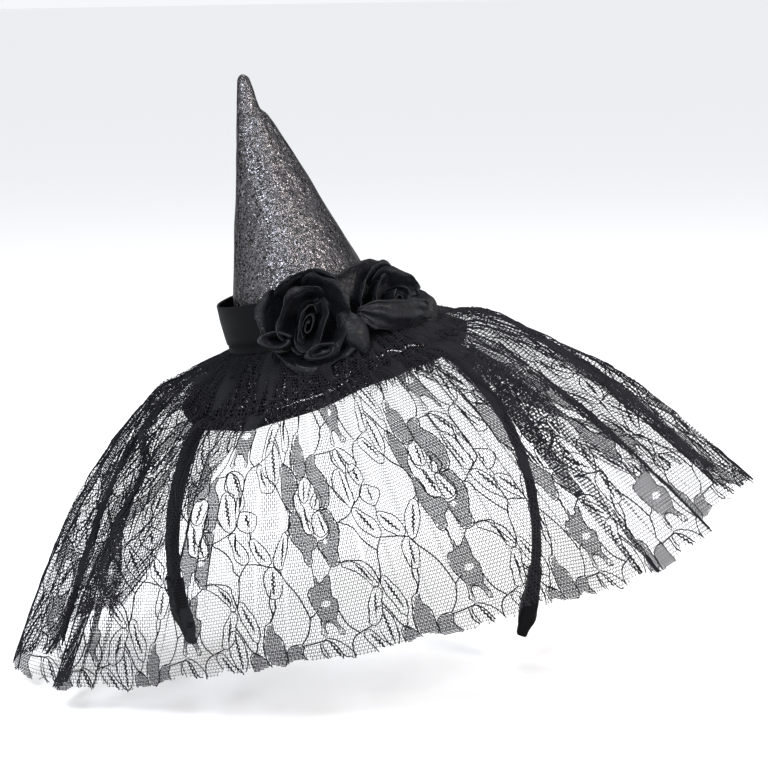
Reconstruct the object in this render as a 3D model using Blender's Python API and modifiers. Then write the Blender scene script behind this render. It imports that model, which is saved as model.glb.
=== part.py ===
"""A small cone hat on a covered headband, with two satin roses and a gathered lace veil.

Units are metres, +Z is up and the wearer faces -Y. The origin is the middle of the
headband's inner face at its top, where the band sits on the head.
"""
import math

import bmesh
import bpy
from mathutils import Matrix, Vector

# Clearance between pieces that touch on the real hat
GAP = 0.0003

# Headband: half an ellipse and a little more, in the XZ plane
BAND_HALF_SPAN = 0.0675
BAND_RISE = 0.0835
BAND_THICKNESS = 0.0038
BAND_WIDTH = 0.0110
BAND_END_ANGLE = math.radians(115.0)
BAND_STEPS = 36
BAND_EDGE = 0.0012
BAND_TIP_WIDTH = 0.0040
BAND_TAPER_LENGTH = 0.0060

# Ribbon wraps sewn round the two ends of the headband
WRAP_LENGTH = 0.0190
WRAP_FROM_TIP = 0.0065
WRAP_WALL = 0.0010
WRAP_SLANT = 0.0020
WRAP_SLACK = 0.0002
WRAP_CORNER_POWER = 0.35
WRAP_SIDES = 12
WRAP_STEPS = 4

# Hat: leans to the wearer's right and is slipped over the top of the band
HAT_LEAN = math.radians(14.0)

# Brim: a covered ring, flat under the crown and drooping to its edge like a bell
BRIM_INNER_RADIUS = 0.0280
BRIM_FLAT_RADIUS = 0.0325
BRIM_RADIUS = 0.0540
BRIM_RING_RADII = (0.0395, 0.0470)
BRIM_THICKNESS = 0.0022
BRIM_CURVE = 1.5
BRIM_SIDES = 44
BRIM_EDGE = 0.0007

# Droop of the brim at its edge: plan angle from the front in degrees, + is the wearer's left
BRIM_ROWS = (
    {"angle": -180.0, "droop": 0.0140},
    {"angle": -130.0, "droop": 0.0130},
    {"angle": -92.0, "droop": 0.0130},
    {"angle": -60.0, "droop": 0.0190},
    {"angle": -35.0, "droop": 0.0200},
    {"angle": -10.0, "droop": 0.0185},
    {"angle": 12.0, "droop": 0.0150},
    {"angle": 45.0, "droop": 0.0140},
    {"angle": 60.0, "droop": 0.0145},
    {"angle": 90.0, "droop": 0.0105},
    {"angle": 130.0, "droop": 0.0120},
    {"angle": 180.0, "droop": 0.0140},
)

# Crown: a thin cone with a small nub at its tip that leans a little
CROWN_BASE_RADIUS = 0.0300
CROWN_OFFSET = 0.0008
CROWN_HEIGHT = 0.0970
CROWN_FULLNESS = 0.96
CROWN_WALL = 0.0015
CROWN_TIP_RADIUS = 0.0019
CROWN_TIP_LEAN = 0.0018
CROWN_LEAN_FROM = 0.76
CROWN_SIDES = 28
CROWN_RINGS = (0.0, 0.15, 0.32, 0.50, 0.66, 0.80, 0.90, 0.965)

# Rounded end of the nub: share of the cone's height and share of the tip's radius
CROWN_NUB_RINGS = ((0.99, 0.75), (1.0, 0.0))

# Hatband: a stiff ribbon ring that stands away from the cone
CUFF_RADIUS = 0.0327
CUFF_HEIGHT = 0.0172
CUFF_WALL = 0.0010
CUFF_SIDES = 40

# Profile of the hatband from its top edge down: share of its height and how far it dips inwards
CUFF_ROWS = (
    {"height": 1.00, "dip": 0.0005},
    {"height": 0.65, "dip": 0.0000},
    {"height": 0.15, "dip": 0.0002},
    {"height": 0.00, "dip": 0.0005},
)

# Veil: one gathered strip, from under the hatband, over the brim and down
VEIL_WALL = 0.0010
VEIL_BRIM_RADII = (0.0320, 0.0390, 0.0470, 0.0540)
VEIL_SHOULDER_RADIUS = 0.0570
VEIL_FALL = (0.0, 0.03, 0.08, 0.15, 0.25, 0.38, 0.53, 0.69, 0.85, 1.0)
VEIL_SIDE_RADIUS = 0.1360
VEIL_FRONT_RADIUS = 0.1000
VEIL_SIDE_SKEW = 0.0010
VEIL_FLARE = 0.72
VEIL_SPAN_BRIM = math.radians(179.2)
VEIL_SPAN_HEM = math.radians(130.0)
VEIL_COLUMNS = 88
VEIL_SPREAD = 0.7
GATHERS = 22
GATHER_BRIM_DEPTH = 0.0005
GATHER_FALL_DEPTH = 0.0013
GATHER_INSET = 0.35
GATHER_START = 0.06
GATHER_FADE = 0.75
FOLD_START = 0.45
FOLD_AT_START = 0.75
VEIL_STEP = 0.02

# Veil by plan angle from the front: drop at its shoulder over the brim's edge, and at the hem
VEIL_ROWS = (
    {"angle": -180.0, "shoulder": 0.0115, "hem": 0.0960},
    {"angle": -130.0, "shoulder": 0.0100, "hem": 0.0960},
    {"angle": -92.0, "shoulder": 0.0040, "hem": 0.0925},
    {"angle": -56.0, "shoulder": 0.0165, "hem": 0.0950},
    {"angle": -34.0, "shoulder": 0.0175, "hem": 0.0945},
    {"angle": -6.0, "shoulder": 0.0155, "hem": 0.0975},
    {"angle": 19.0, "shoulder": 0.0120, "hem": 0.1010},
    {"angle": 43.0, "shoulder": 0.0115, "hem": 0.1040},
    {"angle": 55.0, "shoulder": 0.0115, "hem": 0.1020},
    {"angle": 65.0, "shoulder": 0.0105, "hem": 0.0940},
    {"angle": 90.0, "shoulder": 0.0075, "hem": 0.0980},
    {"angle": 130.0, "shoulder": 0.0095, "hem": 0.0980},
    {"angle": 180.0, "shoulder": 0.0115, "hem": 0.0980},
)

# Folds of the veil: plan angle and half width in degrees, depth outwards at the hem
FOLD_ROWS = (
    {"angle": -120.0, "width": 9.0, "depth": 0.0050},
    {"angle": -102.0, "width": 8.0, "depth": -0.0050},
    {"angle": -85.0, "width": 8.0, "depth": 0.0060},
    {"angle": -70.0, "width": 6.0, "depth": -0.0070},
    {"angle": -57.0, "width": 6.0, "depth": 0.0080},
    {"angle": -44.0, "width": 7.0, "depth": -0.0050},
    {"angle": -22.0, "width": 10.0, "depth": 0.0030},
    {"angle": -3.0, "width": 9.0, "depth": -0.0025},
    {"angle": 16.0, "width": 9.0, "depth": 0.0030},
    {"angle": 38.0, "width": 7.0, "depth": -0.0060},
    {"angle": 52.0, "width": 6.0, "depth": 0.0085},
    {"angle": 65.0, "width": 6.0, "depth": -0.0070},
    {"angle": 80.0, "width": 7.0, "depth": 0.0060},
    {"angle": 96.0, "width": 8.0, "depth": -0.0050},
    {"angle": 114.0, "width": 9.0, "depth": 0.0050},
)

# Roses: plan angle from the front, height of the seat, tilt upwards, scale and widening
ROSE_ROWS = (
    {"name": "rose_front", "angle": 0.0, "seat": 0.0132, "tilt": 10.0, "size": 1.00, "wide": 1.02},
    {"name": "rose_side", "angle": 44.5, "seat": 0.0116, "tilt": 12.0, "size": 0.84, "wide": 1.20},
)
ROSE_WALL = 0.0010
ROSE_FOOT_RADIUS = 0.0090
ROSE_CUPS = 5
CUP_STEP = 0.00025
PETAL_SPIRAL = 0.0007
PETAL_CORNER_HEIGHT = 0.62
PETAL_LIP_FROM = 0.6
BUD_SIDES = 10
BUD_RINGS = 6
BUD_RADIUS = 0.0034
BUD_LOW = 0.0020
BUD_HIGH = 0.0145

# Petals of one rose: start of the petal and its sweep in degrees, cup from the bud
# outwards, mouth radius, height and how far its lip rolls out
PETAL_ROWS = (
    {"start": 20.0, "sweep": 200.0, "cup": 1, "mouth": 0.0056, "height": 0.0130, "lip": 0.0002},
    {"start": 190.0, "sweep": 200.0, "cup": 2, "mouth": 0.0078, "height": 0.0128, "lip": 0.0005},
    {"start": 60.0, "sweep": 175.0, "cup": 3, "mouth": 0.0104, "height": 0.0122, "lip": 0.0010},
    {"start": 215.0, "sweep": 130.0, "cup": 4, "mouth": 0.0132, "height": 0.0116, "lip": 0.0018},
    {"start": 355.0, "sweep": 120.0, "cup": 4, "mouth": 0.0132, "height": 0.0116, "lip": 0.0018},
    {"start": 40.0, "sweep": 112.0, "cup": 5, "mouth": 0.0156, "height": 0.0104, "lip": 0.0022},
    {"start": 160.0, "sweep": 112.0, "cup": 5, "mouth": 0.0156, "height": 0.0104, "lip": 0.0022},
    {"start": 280.0, "sweep": 112.0, "cup": 5, "mouth": 0.0156, "height": 0.0104, "lip": 0.0022},
)
PETAL_COLUMNS = 6
PETAL_ROUNDS = 4

# Finishes: base colour, roughness and metallic value
FINISHES = {
    "band_cloth": {"colour": (0.030, 0.030, 0.034), "roughness": 0.70, "metallic": 0.0},
    "wrap_ribbon": {"colour": (0.018, 0.018, 0.020), "roughness": 0.55, "metallic": 0.0},
    "brim_cloth": {"colour": (0.025, 0.026, 0.030), "roughness": 0.75, "metallic": 0.0},
    "glitter_cloth": {"colour": (0.28, 0.28, 0.32), "roughness": 0.38, "metallic": 0.7},
    "matte_ribbon": {"colour": (0.016, 0.016, 0.018), "roughness": 0.60, "metallic": 0.0},
    "satin": {"colour": (0.012, 0.012, 0.015), "roughness": 0.30, "metallic": 0.0},
    "lace": {"colour": (0.016, 0.016, 0.019), "roughness": 0.80, "metallic": 0.0},
}


def clear_scene():
    """Remove the objects that a new file starts with."""
    for thing in list(bpy.data.objects):
        bpy.data.objects.remove(thing)


def make_finishes():
    """Build one material for each row of the finish table."""
    made = {}
    for name, row in FINISHES.items():
        finish = bpy.data.materials.new(name)
        finish.use_nodes = True
        shader = finish.node_tree.nodes["Principled BSDF"]
        shader.inputs["Base Color"].default_value = (*row["colour"], 1.0)
        shader.inputs["Roughness"].default_value = row["roughness"]
        shader.inputs["Metallic"].default_value = row["metallic"]
        finish.diffuse_color = (*row["colour"], 1.0)
        made[name] = finish
    return made


def add_object(name, mesh, finish, parent=None):
    """Put a mesh in the hat's collection under its name, with its finish."""
    thing = bpy.data.objects.new(name, mesh)
    thing.data.materials.append(FINISH[finish])
    HAT_COLLECTION.objects.link(thing)
    thing.parent = parent
    return thing


def mapped_sheet(name, columns, rows, place, merge=False):
    """Bend a flat grid into a sheet: place(u, v) gives the point for u and v from 0 to 1."""
    sheet = bmesh.new()
    bmesh.ops.create_grid(sheet, x_segments=columns, y_segments=rows, size=0.5)
    for vertex in sheet.verts:
        vertex.co = place(vertex.co.x + 0.5, vertex.co.y + 0.5)
    if merge:
        bmesh.ops.remove_doubles(sheet, verts=sheet.verts, dist=1e-6)
    bmesh.ops.recalc_face_normals(sheet, faces=sheet.faces)
    mesh = bpy.data.meshes.new(name)
    sheet.to_mesh(mesh)
    sheet.free()
    mesh.shade_smooth()
    return mesh


def thicken(thing, wall, offset):
    """Give an open sheet its wall; offset 1 grows along the normals, -1 against them."""
    solid = thing.modifiers.new("wall", "SOLIDIFY")
    solid.thickness = wall
    solid.offset = offset
    return solid


def soften(thing, width, segments=2):
    """Round the sharp edges of a piece."""
    bevel = thing.modifiers.new("edges", "BEVEL")
    bevel.width = width
    bevel.segments = segments
    bevel.limit_method = "ANGLE"
    bevel.angle_limit = math.radians(50.0)
    return bevel


def ease(value):
    """Smooth step from 0 to 1."""
    value = min(max(value, 0.0), 1.0)
    return value * value * (3.0 - 2.0 * value)


def read_table(rows, angle, column):
    """Value of a column at an angle in degrees, smoothly joined between the rows."""
    if angle <= rows[0]["angle"]:
        return rows[0][column]
    for low, high in zip(rows, rows[1:]):
        if angle <= high["angle"]:
            share = ease((angle - low["angle"]) / (high["angle"] - low["angle"]))
            return low[column] + share * (high[column] - low[column])
    return rows[-1][column]


def band_point(turn, outwards=0.0):
    """Point of the band's middle line at an ellipse angle, moved along its normal."""
    centre_height = BAND_THICKNESS / 2.0 - BAND_RISE
    normal = Vector((BAND_RISE * math.sin(turn), 0.0, BAND_HALF_SPAN * math.cos(turn)))
    normal.normalize()
    middle = Vector((
        BAND_HALF_SPAN * math.sin(turn),
        0.0,
        BAND_RISE * math.cos(turn) + centre_height,
    ))
    return middle + normal * outwards


def band_turn(length):
    """Ellipse angle at a length along the band's middle line, measured from its end."""
    steps = 400
    walked = 0.0
    last = band_point(BAND_END_ANGLE)
    for step in range(1, steps + 1):
        turn = BAND_END_ANGLE * (1.0 - step / steps)
        here = band_point(turn)
        walked += (here - last).length
        if walked >= length:
            return turn
        last = here
    return 0.0


def add_headband():
    """Covered band: a strip along the ellipse, narrowed to a round tip at each end."""
    taper_turn = band_turn(BAND_TAPER_LENGTH)

    def place(u, v):
        turn = BAND_END_ANGLE * (2.0 * u - 1.0)
        beyond = max(abs(turn) - taper_turn, 0.0) / (BAND_END_ANGLE - taper_turn)
        width = BAND_TIP_WIDTH + (BAND_WIDTH - BAND_TIP_WIDTH) * math.sqrt(1.0 - beyond ** 2)
        point = band_point(turn)
        point.y = width * (v - 0.5)
        return point

    mesh = mapped_sheet("headband", BAND_STEPS, 1, place)
    band = add_object("headband", mesh, "band_cloth")
    thicken(band, BAND_THICKNESS, 0.0)
    soften(band, BAND_EDGE)


def add_wrap(name, side):
    """Ribbon wrap: a flat sleeve round one end of the band, its lower edge cut at a slant."""
    half_wide = BAND_WIDTH / 2.0 + GAP
    half_thick = BAND_THICKNESS / 2.0 + GAP + WRAP_SLACK
    low_turn = band_turn(WRAP_FROM_TIP)
    high_turn = band_turn(WRAP_FROM_TIP + WRAP_LENGTH)
    slant_turn = low_turn - band_turn(WRAP_FROM_TIP + WRAP_SLANT)

    def ring(share):
        angle = math.tau * share
        across = math.copysign(abs(math.cos(angle)) ** WRAP_CORNER_POWER, math.cos(angle))
        through = math.copysign(abs(math.sin(angle)) ** WRAP_CORNER_POWER, math.sin(angle))
        return across * half_wide, through * half_thick

    def place(u, v):
        across, through = ring(u)
        turn = low_turn + (high_turn - low_turn) * v
        turn -= slant_turn * (1.0 - v) * (across / half_wide)
        point = band_point(turn, through)
        point.y = across
        point.x *= side
        return point

    mesh = mapped_sheet(name, WRAP_SIDES, WRAP_STEPS, place, merge=True)
    wrap = add_object(name, mesh, "wrap_ribbon")
    thicken(wrap, WRAP_WALL, 1.0)


def hat_sink(touch, across, up):
    """How far the brim ring sinks below the band's top, until it rests on the band."""
    rest_at = math.sqrt(BRIM_INNER_RADIUS ** 2 - (BAND_WIDTH / 2.0) ** 2)
    highest = -BAND_RISE
    for side in (-1.0, 1.0):
        turn = 0.0
        while (band_point(turn, BAND_THICKNESS / 2.0) - touch).dot(across) * side < rest_at:
            turn += side * math.radians(0.1)
        highest = max(highest, (band_point(turn, BAND_THICKNESS / 2.0) - touch).dot(up))
    return -highest - GAP


def add_hat_seat():
    """Empty at the centre of the brim's underside, tipped as the hat sits on the band."""
    turn = math.atan(-math.tan(HAT_LEAN) * BAND_HALF_SPAN / BAND_RISE)
    touch = band_point(turn, BAND_THICKNESS / 2.0)
    tip = Matrix.Rotation(-HAT_LEAN, 4, "Y")
    across = tip @ Vector((1.0, 0.0, 0.0))
    up = tip @ Vector((0.0, 0.0, 1.0))
    centre = touch - up * hat_sink(touch, across, up)
    seat = bpy.data.objects.new("hat_seat", None)
    seat.matrix_world = Matrix.Translation(centre) @ tip
    HAT_COLLECTION.objects.link(seat)
    return seat


def polar(angle, radius, height):
    """Point in the hat's frame: angle from the front, + towards the wearer's left."""
    return Vector((radius * math.sin(angle), -radius * math.cos(angle), height))


def bell(radius):
    """Share of the edge's droop that is reached at a radius."""
    outside = max(radius - BRIM_FLAT_RADIUS, 0.0) / (BRIM_RADIUS - BRIM_FLAT_RADIUS)
    return outside ** BRIM_CURVE


def add_brim(seat):
    """Covered ring: flat where the crown stands, then a bell that droops to its edge."""
    radii = (BRIM_INNER_RADIUS, BRIM_FLAT_RADIUS, *BRIM_RING_RADII, BRIM_RADIUS)

    def place(u, v):
        radius = radii[round(v * (len(radii) - 1))]
        degrees = 360.0 * u - 180.0
        edge_droop = read_table(BRIM_ROWS, degrees, "droop")
        return polar(math.radians(degrees), radius, -edge_droop * bell(radius))

    mesh = mapped_sheet("brim", BRIM_SIDES, len(radii) - 1, place, merge=True)
    brim = add_object("brim", mesh, "brim_cloth", seat)
    brim.location.z = BRIM_THICKNESS / 2.0
    thicken(brim, BRIM_THICKNESS, 0.0)
    soften(brim, BRIM_EDGE, segments=1)


def add_crown(seat):
    """Thin cone with a rounded tip, open at its base, where its wall ends square to the cone."""
    base = BRIM_THICKNESS + GAP + CROWN_WALL * CROWN_BASE_RADIUS / CROWN_HEIGHT
    rows = len(CROWN_RINGS) + len(CROWN_NUB_RINGS) - 1

    def place(u, v):
        row = round(v * rows)
        if row < len(CROWN_RINGS):
            share = CROWN_RINGS[row]
            radius = CROWN_BASE_RADIUS * (1.0 - share) ** CROWN_FULLNESS
            radius = max(radius, CROWN_TIP_RADIUS)
        else:
            share, tip_share = CROWN_NUB_RINGS[row - len(CROWN_RINGS)]
            radius = CROWN_TIP_RADIUS * tip_share
        bent = ease((share - CROWN_LEAN_FROM) / (1.0 - CROWN_LEAN_FROM))
        lean = CROWN_TIP_LEAN * math.sin(math.pi * bent)
        point = polar(math.tau * u, radius, base + CROWN_HEIGHT * share)
        point.x -= CROWN_OFFSET + lean
        return point

    mesh = mapped_sheet("crown_cone", CROWN_SIDES, rows, place, merge=True)
    crown = add_object("crown_cone", mesh, "glitter_cloth", seat)
    solid = thicken(crown, CROWN_WALL, -1.0)
    solid.use_even_offset = False
    solid.thickness_clamp = 1.0


def add_hatband(seat):
    """Stiff ribbon ring: a wall profile turned round the hat's axis."""
    foot = BRIM_THICKNESS + GAP + VEIL_WALL + GATHER_BRIM_DEPTH + GAP
    outline = bmesh.new()
    points = []
    for row in CUFF_ROWS:
        place = (CUFF_RADIUS - row["dip"], 0.0, foot + CUFF_HEIGHT * row["height"])
        points.append(outline.verts.new(place))
    for upper, lower in zip(points, points[1:]):
        outline.edges.new((upper, lower))
    mesh = bpy.data.meshes.new("hatband_ribbon")
    outline.to_mesh(mesh)
    outline.free()
    cuff = add_object("hatband_ribbon", mesh, "matte_ribbon", seat)
    screw = cuff.modifiers.new("turn", "SCREW")
    screw.angle = math.tau
    screw.steps = CUFF_SIDES
    screw.render_steps = CUFF_SIDES
    screw.use_merge_vertices = True
    screw.merge_threshold = 0.0001
    thicken(cuff, CUFF_WALL, -1.0)


def cup_radius(cup, share):
    """Radius of a nested cup from its foot, share 0, to its mouth, share 1."""
    foot = ROSE_FOOT_RADIUS * cup["cup"] / ROSE_CUPS
    return foot + (cup["mouth"] - foot) * math.sin(share * math.pi / 2.0)


def add_rose(row, seat):
    """Satin rose: a rolled bud in five nested cups of overlapping petals."""
    frame = bpy.data.objects.new(row["name"] + "_seat", None)
    tilt = math.radians(row["tilt"])
    foot_radius = ROSE_FOOT_RADIUS * row["size"]
    reach = CUFF_RADIUS + GAP + (foot_radius + ROSE_WALL) * math.sin(tilt)
    place_on_hat = Matrix.Rotation(math.radians(row["angle"]), 4, "Z")
    foot = Matrix.Translation(Vector((0.0, -reach, row["seat"])))
    face_out = Matrix.Rotation(math.pi / 2.0 - tilt, 4, "X")
    frame.parent = seat
    frame.matrix_local = place_on_hat @ foot @ face_out
    HAT_COLLECTION.objects.link(frame)

    bud = bmesh.new()
    bmesh.ops.create_uvsphere(bud, u_segments=BUD_SIDES, v_segments=BUD_RINGS, radius=1.0)
    half_height = (BUD_HIGH - BUD_LOW) / 2.0
    bmesh.ops.scale(bud, vec=(BUD_RADIUS, BUD_RADIUS, half_height), verts=bud.verts)
    bmesh.ops.translate(bud, vec=(0.0, 0.0, BUD_LOW + half_height), verts=bud.verts)
    bmesh.ops.scale(bud, vec=(row["size"], row["size"], row["size"]), verts=bud.verts)
    mesh = bpy.data.meshes.new(row["name"] + "_bud")
    bud.to_mesh(mesh)
    bud.free()
    mesh.shade_smooth()
    add_object(row["name"] + "_bud", mesh, "satin", frame)

    for number, petal in enumerate(PETAL_ROWS, start=1):
        start = math.radians(petal["start"])
        sweep = math.radians(petal["sweep"])

        def place(u, v):
            edge = math.sqrt(math.sin(math.pi * min(max(u, 0.0), 1.0)))
            rise = v * (PETAL_CORNER_HEIGHT + (1.0 - PETAL_CORNER_HEIGHT) * edge)
            lip = ease((rise - PETAL_LIP_FROM) / (1.0 - PETAL_LIP_FROM))
            radius = cup_radius(petal, rise) + petal["lip"] * lip
            radius += PETAL_SPIRAL * (u - 0.5) * rise
            angle = start + sweep * u
            return row["size"] * Vector((
                radius * math.cos(angle) * row["wide"],
                radius * math.sin(angle),
                petal["height"] * rise + CUP_STEP * (ROSE_CUPS - petal["cup"]),
            ))

        name = f"{row['name']}_petal_{number}"
        mesh = mapped_sheet(name, PETAL_COLUMNS, PETAL_ROUNDS, place)
        thicken(add_object(name, mesh, "satin", frame), ROSE_WALL, 0.0)


def veil_level():
    """Height of the middle of the veil's wall where it lies on the flat of the brim."""
    return BRIM_THICKNESS + GAP + VEIL_WALL / 2.0


def veil_plan(angle, share):
    """Point of the smooth veil below the brim, share 0 at its shoulder and 1 at the hem."""
    spread = share ** VEIL_FLARE
    skew = VEIL_SIDE_SKEW * math.sin(angle)
    side = VEIL_SHOULDER_RADIUS
    side += (VEIL_SIDE_RADIUS + skew - VEIL_SHOULDER_RADIUS) * spread
    front = VEIL_SHOULDER_RADIUS + (VEIL_FRONT_RADIUS - VEIL_SHOULDER_RADIUS) * spread
    shoulder = read_table(VEIL_ROWS, math.degrees(angle), "shoulder")
    hem = read_table(VEIL_ROWS, math.degrees(angle), "hem")
    height = veil_level() - shoulder - (hem - shoulder) * share
    return Vector((side * math.sin(angle), -front * math.cos(angle), height))


def veil_folds(angle, share):
    """How far the large folds push the veil outwards at a point."""
    degrees = math.degrees(angle)
    depth = 0.0
    for fold in FOLD_ROWS:
        depth += fold["depth"] * math.exp(-((degrees - fold["angle"]) / fold["width"]) ** 2)
    return depth * ease(share / FOLD_START) * (FOLD_AT_START + (1.0 - FOLD_AT_START) * share)


def add_veil(seat):
    """Gathered strip: a closed ring on the brim whose ends part at the back below it."""
    rows = len(VEIL_BRIM_RADII) + len(VEIL_FALL) - 1

    def place(u, v):
        row = round(v * rows)
        swing = 2.0 * u - 1.0
        wave = 0.5 + 0.5 * math.cos(math.tau * GATHERS * u)
        if row < len(VEIL_BRIM_RADII):
            radius = VEIL_BRIM_RADII[row]
            angle = swing * VEIL_SPAN_BRIM
            shoulder = read_table(VEIL_ROWS, math.degrees(angle), "shoulder")
            lift = GATHER_BRIM_DEPTH * wave
            return polar(angle, radius, veil_level() + lift - shoulder * bell(radius))
        share = VEIL_FALL[row - len(VEIL_BRIM_RADII)]
        span = VEIL_SPAN_BRIM + (VEIL_SPAN_HEM - VEIL_SPAN_BRIM) * share ** VEIL_SPREAD
        angle = swing * span
        point = veil_plan(angle, share)
        fall = veil_plan(angle, share + VEIL_STEP) - point
        around = Vector((math.cos(angle), math.sin(angle), 0.0))
        outwards = fall.cross(around)
        outwards.normalize()
        if outwards.dot(polar(angle, 1.0, 1.0)) < 0.0:
            outwards.negate()
        if share > 0.0:
            gather = GATHER_FALL_DEPTH * (wave - GATHER_INSET)
            gather *= ease(share / GATHER_START) * (1.0 - GATHER_FADE * share)
        else:
            gather = GATHER_BRIM_DEPTH * wave
        return point + outwards * (veil_folds(angle, share) + gather)

    mesh = mapped_sheet("veil", VEIL_COLUMNS, rows, place)
    veil = add_object("veil", mesh, "lace", seat)
    thicken(veil, VEIL_WALL, 0.0)


clear_scene()
FINISH = make_finishes()
HAT_COLLECTION = bpy.data.collections.new("veiled_cone_hat")
bpy.context.scene.collection.children.link(HAT_COLLECTION)

add_headband()
add_wrap("end_wrap_left", 1.0)
add_wrap("end_wrap_right", -1.0)
hat_seat = add_hat_seat()
add_brim(hat_seat)
add_crown(hat_seat)
add_hatband(hat_seat)
for rose_row in ROSE_ROWS:
    add_rose(rose_row, hat_seat)
add_veil(hat_seat)
bpy.context.view_layer.update()
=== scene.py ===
# %% [markdown]
# # A small cone hat with a lace veil
#
# The hat is a glitter cone on a covered headband. A ribbon ring holds two satin roses, and one
# strip of floral lace is gathered under that ring, covers the soft brim and flares down to its
# raw hem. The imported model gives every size, so each piece here is made where its solid stands.

# %% The frame and its box
import math
from math import cos, pi, radians, sin, sqrt, tau

import bmesh
import bpy
import numpy as np
from mathutils import Matrix, Vector, noise


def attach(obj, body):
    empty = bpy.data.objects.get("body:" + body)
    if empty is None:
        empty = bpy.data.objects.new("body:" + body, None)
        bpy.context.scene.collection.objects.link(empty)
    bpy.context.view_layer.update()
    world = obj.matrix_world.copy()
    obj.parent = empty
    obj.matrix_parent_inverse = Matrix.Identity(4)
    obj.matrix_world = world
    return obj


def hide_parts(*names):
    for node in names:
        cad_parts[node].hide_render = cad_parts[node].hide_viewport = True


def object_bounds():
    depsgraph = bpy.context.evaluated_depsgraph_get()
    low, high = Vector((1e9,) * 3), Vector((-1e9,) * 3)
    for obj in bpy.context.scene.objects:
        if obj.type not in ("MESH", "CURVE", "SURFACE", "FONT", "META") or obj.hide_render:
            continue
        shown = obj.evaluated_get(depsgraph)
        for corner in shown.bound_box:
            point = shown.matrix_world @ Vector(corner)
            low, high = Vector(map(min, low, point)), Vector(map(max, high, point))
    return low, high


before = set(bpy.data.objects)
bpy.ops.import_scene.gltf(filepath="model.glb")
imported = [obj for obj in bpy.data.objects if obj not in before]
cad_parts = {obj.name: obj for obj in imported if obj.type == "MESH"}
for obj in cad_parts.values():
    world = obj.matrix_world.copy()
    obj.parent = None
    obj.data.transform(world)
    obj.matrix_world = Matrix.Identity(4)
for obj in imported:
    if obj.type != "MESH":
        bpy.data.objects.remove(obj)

cad_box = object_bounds()
print("solids:", len(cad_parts), "box:", [tuple(round(c, 4) for c in p) for p in cad_box])


def table(columns, *rows):
    """Rows of a table as dictionaries, one key for each column."""
    return [dict(zip(columns.split(), row)) for row in rows]


def new_object(name, data):
    """Object for a mesh, curve, lamp or camera, which takes its name, linked to the scene."""
    data.name = name
    thing = bpy.data.objects.new(name, data)
    bpy.context.scene.collection.objects.link(thing)
    return thing


def as_mesh(shape):
    """Mesh from a bmesh, which is freed."""
    mesh = bpy.data.meshes.new("mesh")
    shape.to_mesh(mesh)
    shape.free()
    return mesh


# %% [markdown]
# ## Camera, floor and light
#
# The camera comes first, because it decides which details earn their triangles. Its place was
# found by fitting the solids' outlines to the photograph: almost level and a little to the
# wearer's right, with a long lens. A camera has no look-at setting in code, so its matrix is
# built from three directions: right, up and back.

# %% Camera
VIEW_TARGET = Vector((0.0118, 0.0, -0.0214))
VIEW_DISTANCE = 1.0
VIEW_AZIMUTH = radians(-2.36)
VIEW_ELEVATION = radians(8.45)
VIEW_ROLL = radians(-0.99)
VIEW_LENS = 127.57
SENSOR_WIDTH = 36.0


def add_camera():
    """Camera at the photograph's angle."""
    level_share = cos(VIEW_ELEVATION)
    back = Vector((
        sin(VIEW_AZIMUTH) * level_share, -cos(VIEW_AZIMUTH) * level_share, sin(VIEW_ELEVATION),
    ))
    level = Vector((0.0, 0.0, 1.0)).cross(back).normalized()
    rise = back.cross(level)
    right = level * cos(VIEW_ROLL) + rise * sin(VIEW_ROLL)
    up = rise * cos(VIEW_ROLL) - level * sin(VIEW_ROLL)
    camera = new_object("photo_camera", bpy.data.cameras.new("photo_camera"))
    camera.data.lens = VIEW_LENS
    camera.data.sensor_width = SENSOR_WIDTH
    turned = Matrix((right, up, back)).transposed().to_4x4()
    camera.matrix_world = Matrix.Translation(VIEW_TARGET + back * VIEW_DISTANCE) @ turned
    bpy.context.scene.camera = camera
    return camera


print("camera:", [round(c, 3) for c in add_camera().matrix_world.translation])

# %% Floor, world and lamps
FLOOR_DROP = 0.002
FLOOR_SIZE = 60.0
FLOOR_COLOUR = (0.90, 0.90, 0.90)
FLOOR_ROUGHNESS = 0.9
WORLD_COLOUR = (0.92, 0.94, 0.96, 1.0)
LAMPS = table(
    "name place size watts colour",
    ("key", (-0.5, -1.1, 0.8), 0.34, 17.0, (0.86, 0.91, 1.0)),
    ("fill", (0.84, -0.84, 0.45), 0.3, 12.5, (1.0, 0.9, 0.84)),
    ("crown", (0.1, 0.6, 1.1), 0.7, 9.0, (1.0, 1.0, 1.0)),
)


def plain_shader(name, colour, roughness):
    """Material with one Principled shader, its nodes and its links ready to use."""
    material = bpy.data.materials.new(name)
    material.use_nodes = True
    shader = material.node_tree.nodes["Principled BSDF"]
    shader.inputs["Base Color"].default_value = (*colour, 1.0)
    shader.inputs["Roughness"].default_value = roughness
    material.diffuse_color = (*colour, 1.0)
    return material, shader


def add_floor():
    """Pale floor just under the hem."""
    plan = bmesh.new()
    bmesh.ops.create_grid(plan, x_segments=1, y_segments=1, size=FLOOR_SIZE / 2.0)
    bmesh.ops.translate(plan, vec=(0.0, 0.0, cad_box[0][2] - FLOOR_DROP), verts=plan.verts)
    floor = new_object("floor", as_mesh(plan))
    floor.data.materials.append(plain_shader("floor_paint", FLOOR_COLOUR, FLOOR_ROUGHNESS)[0])


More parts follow.
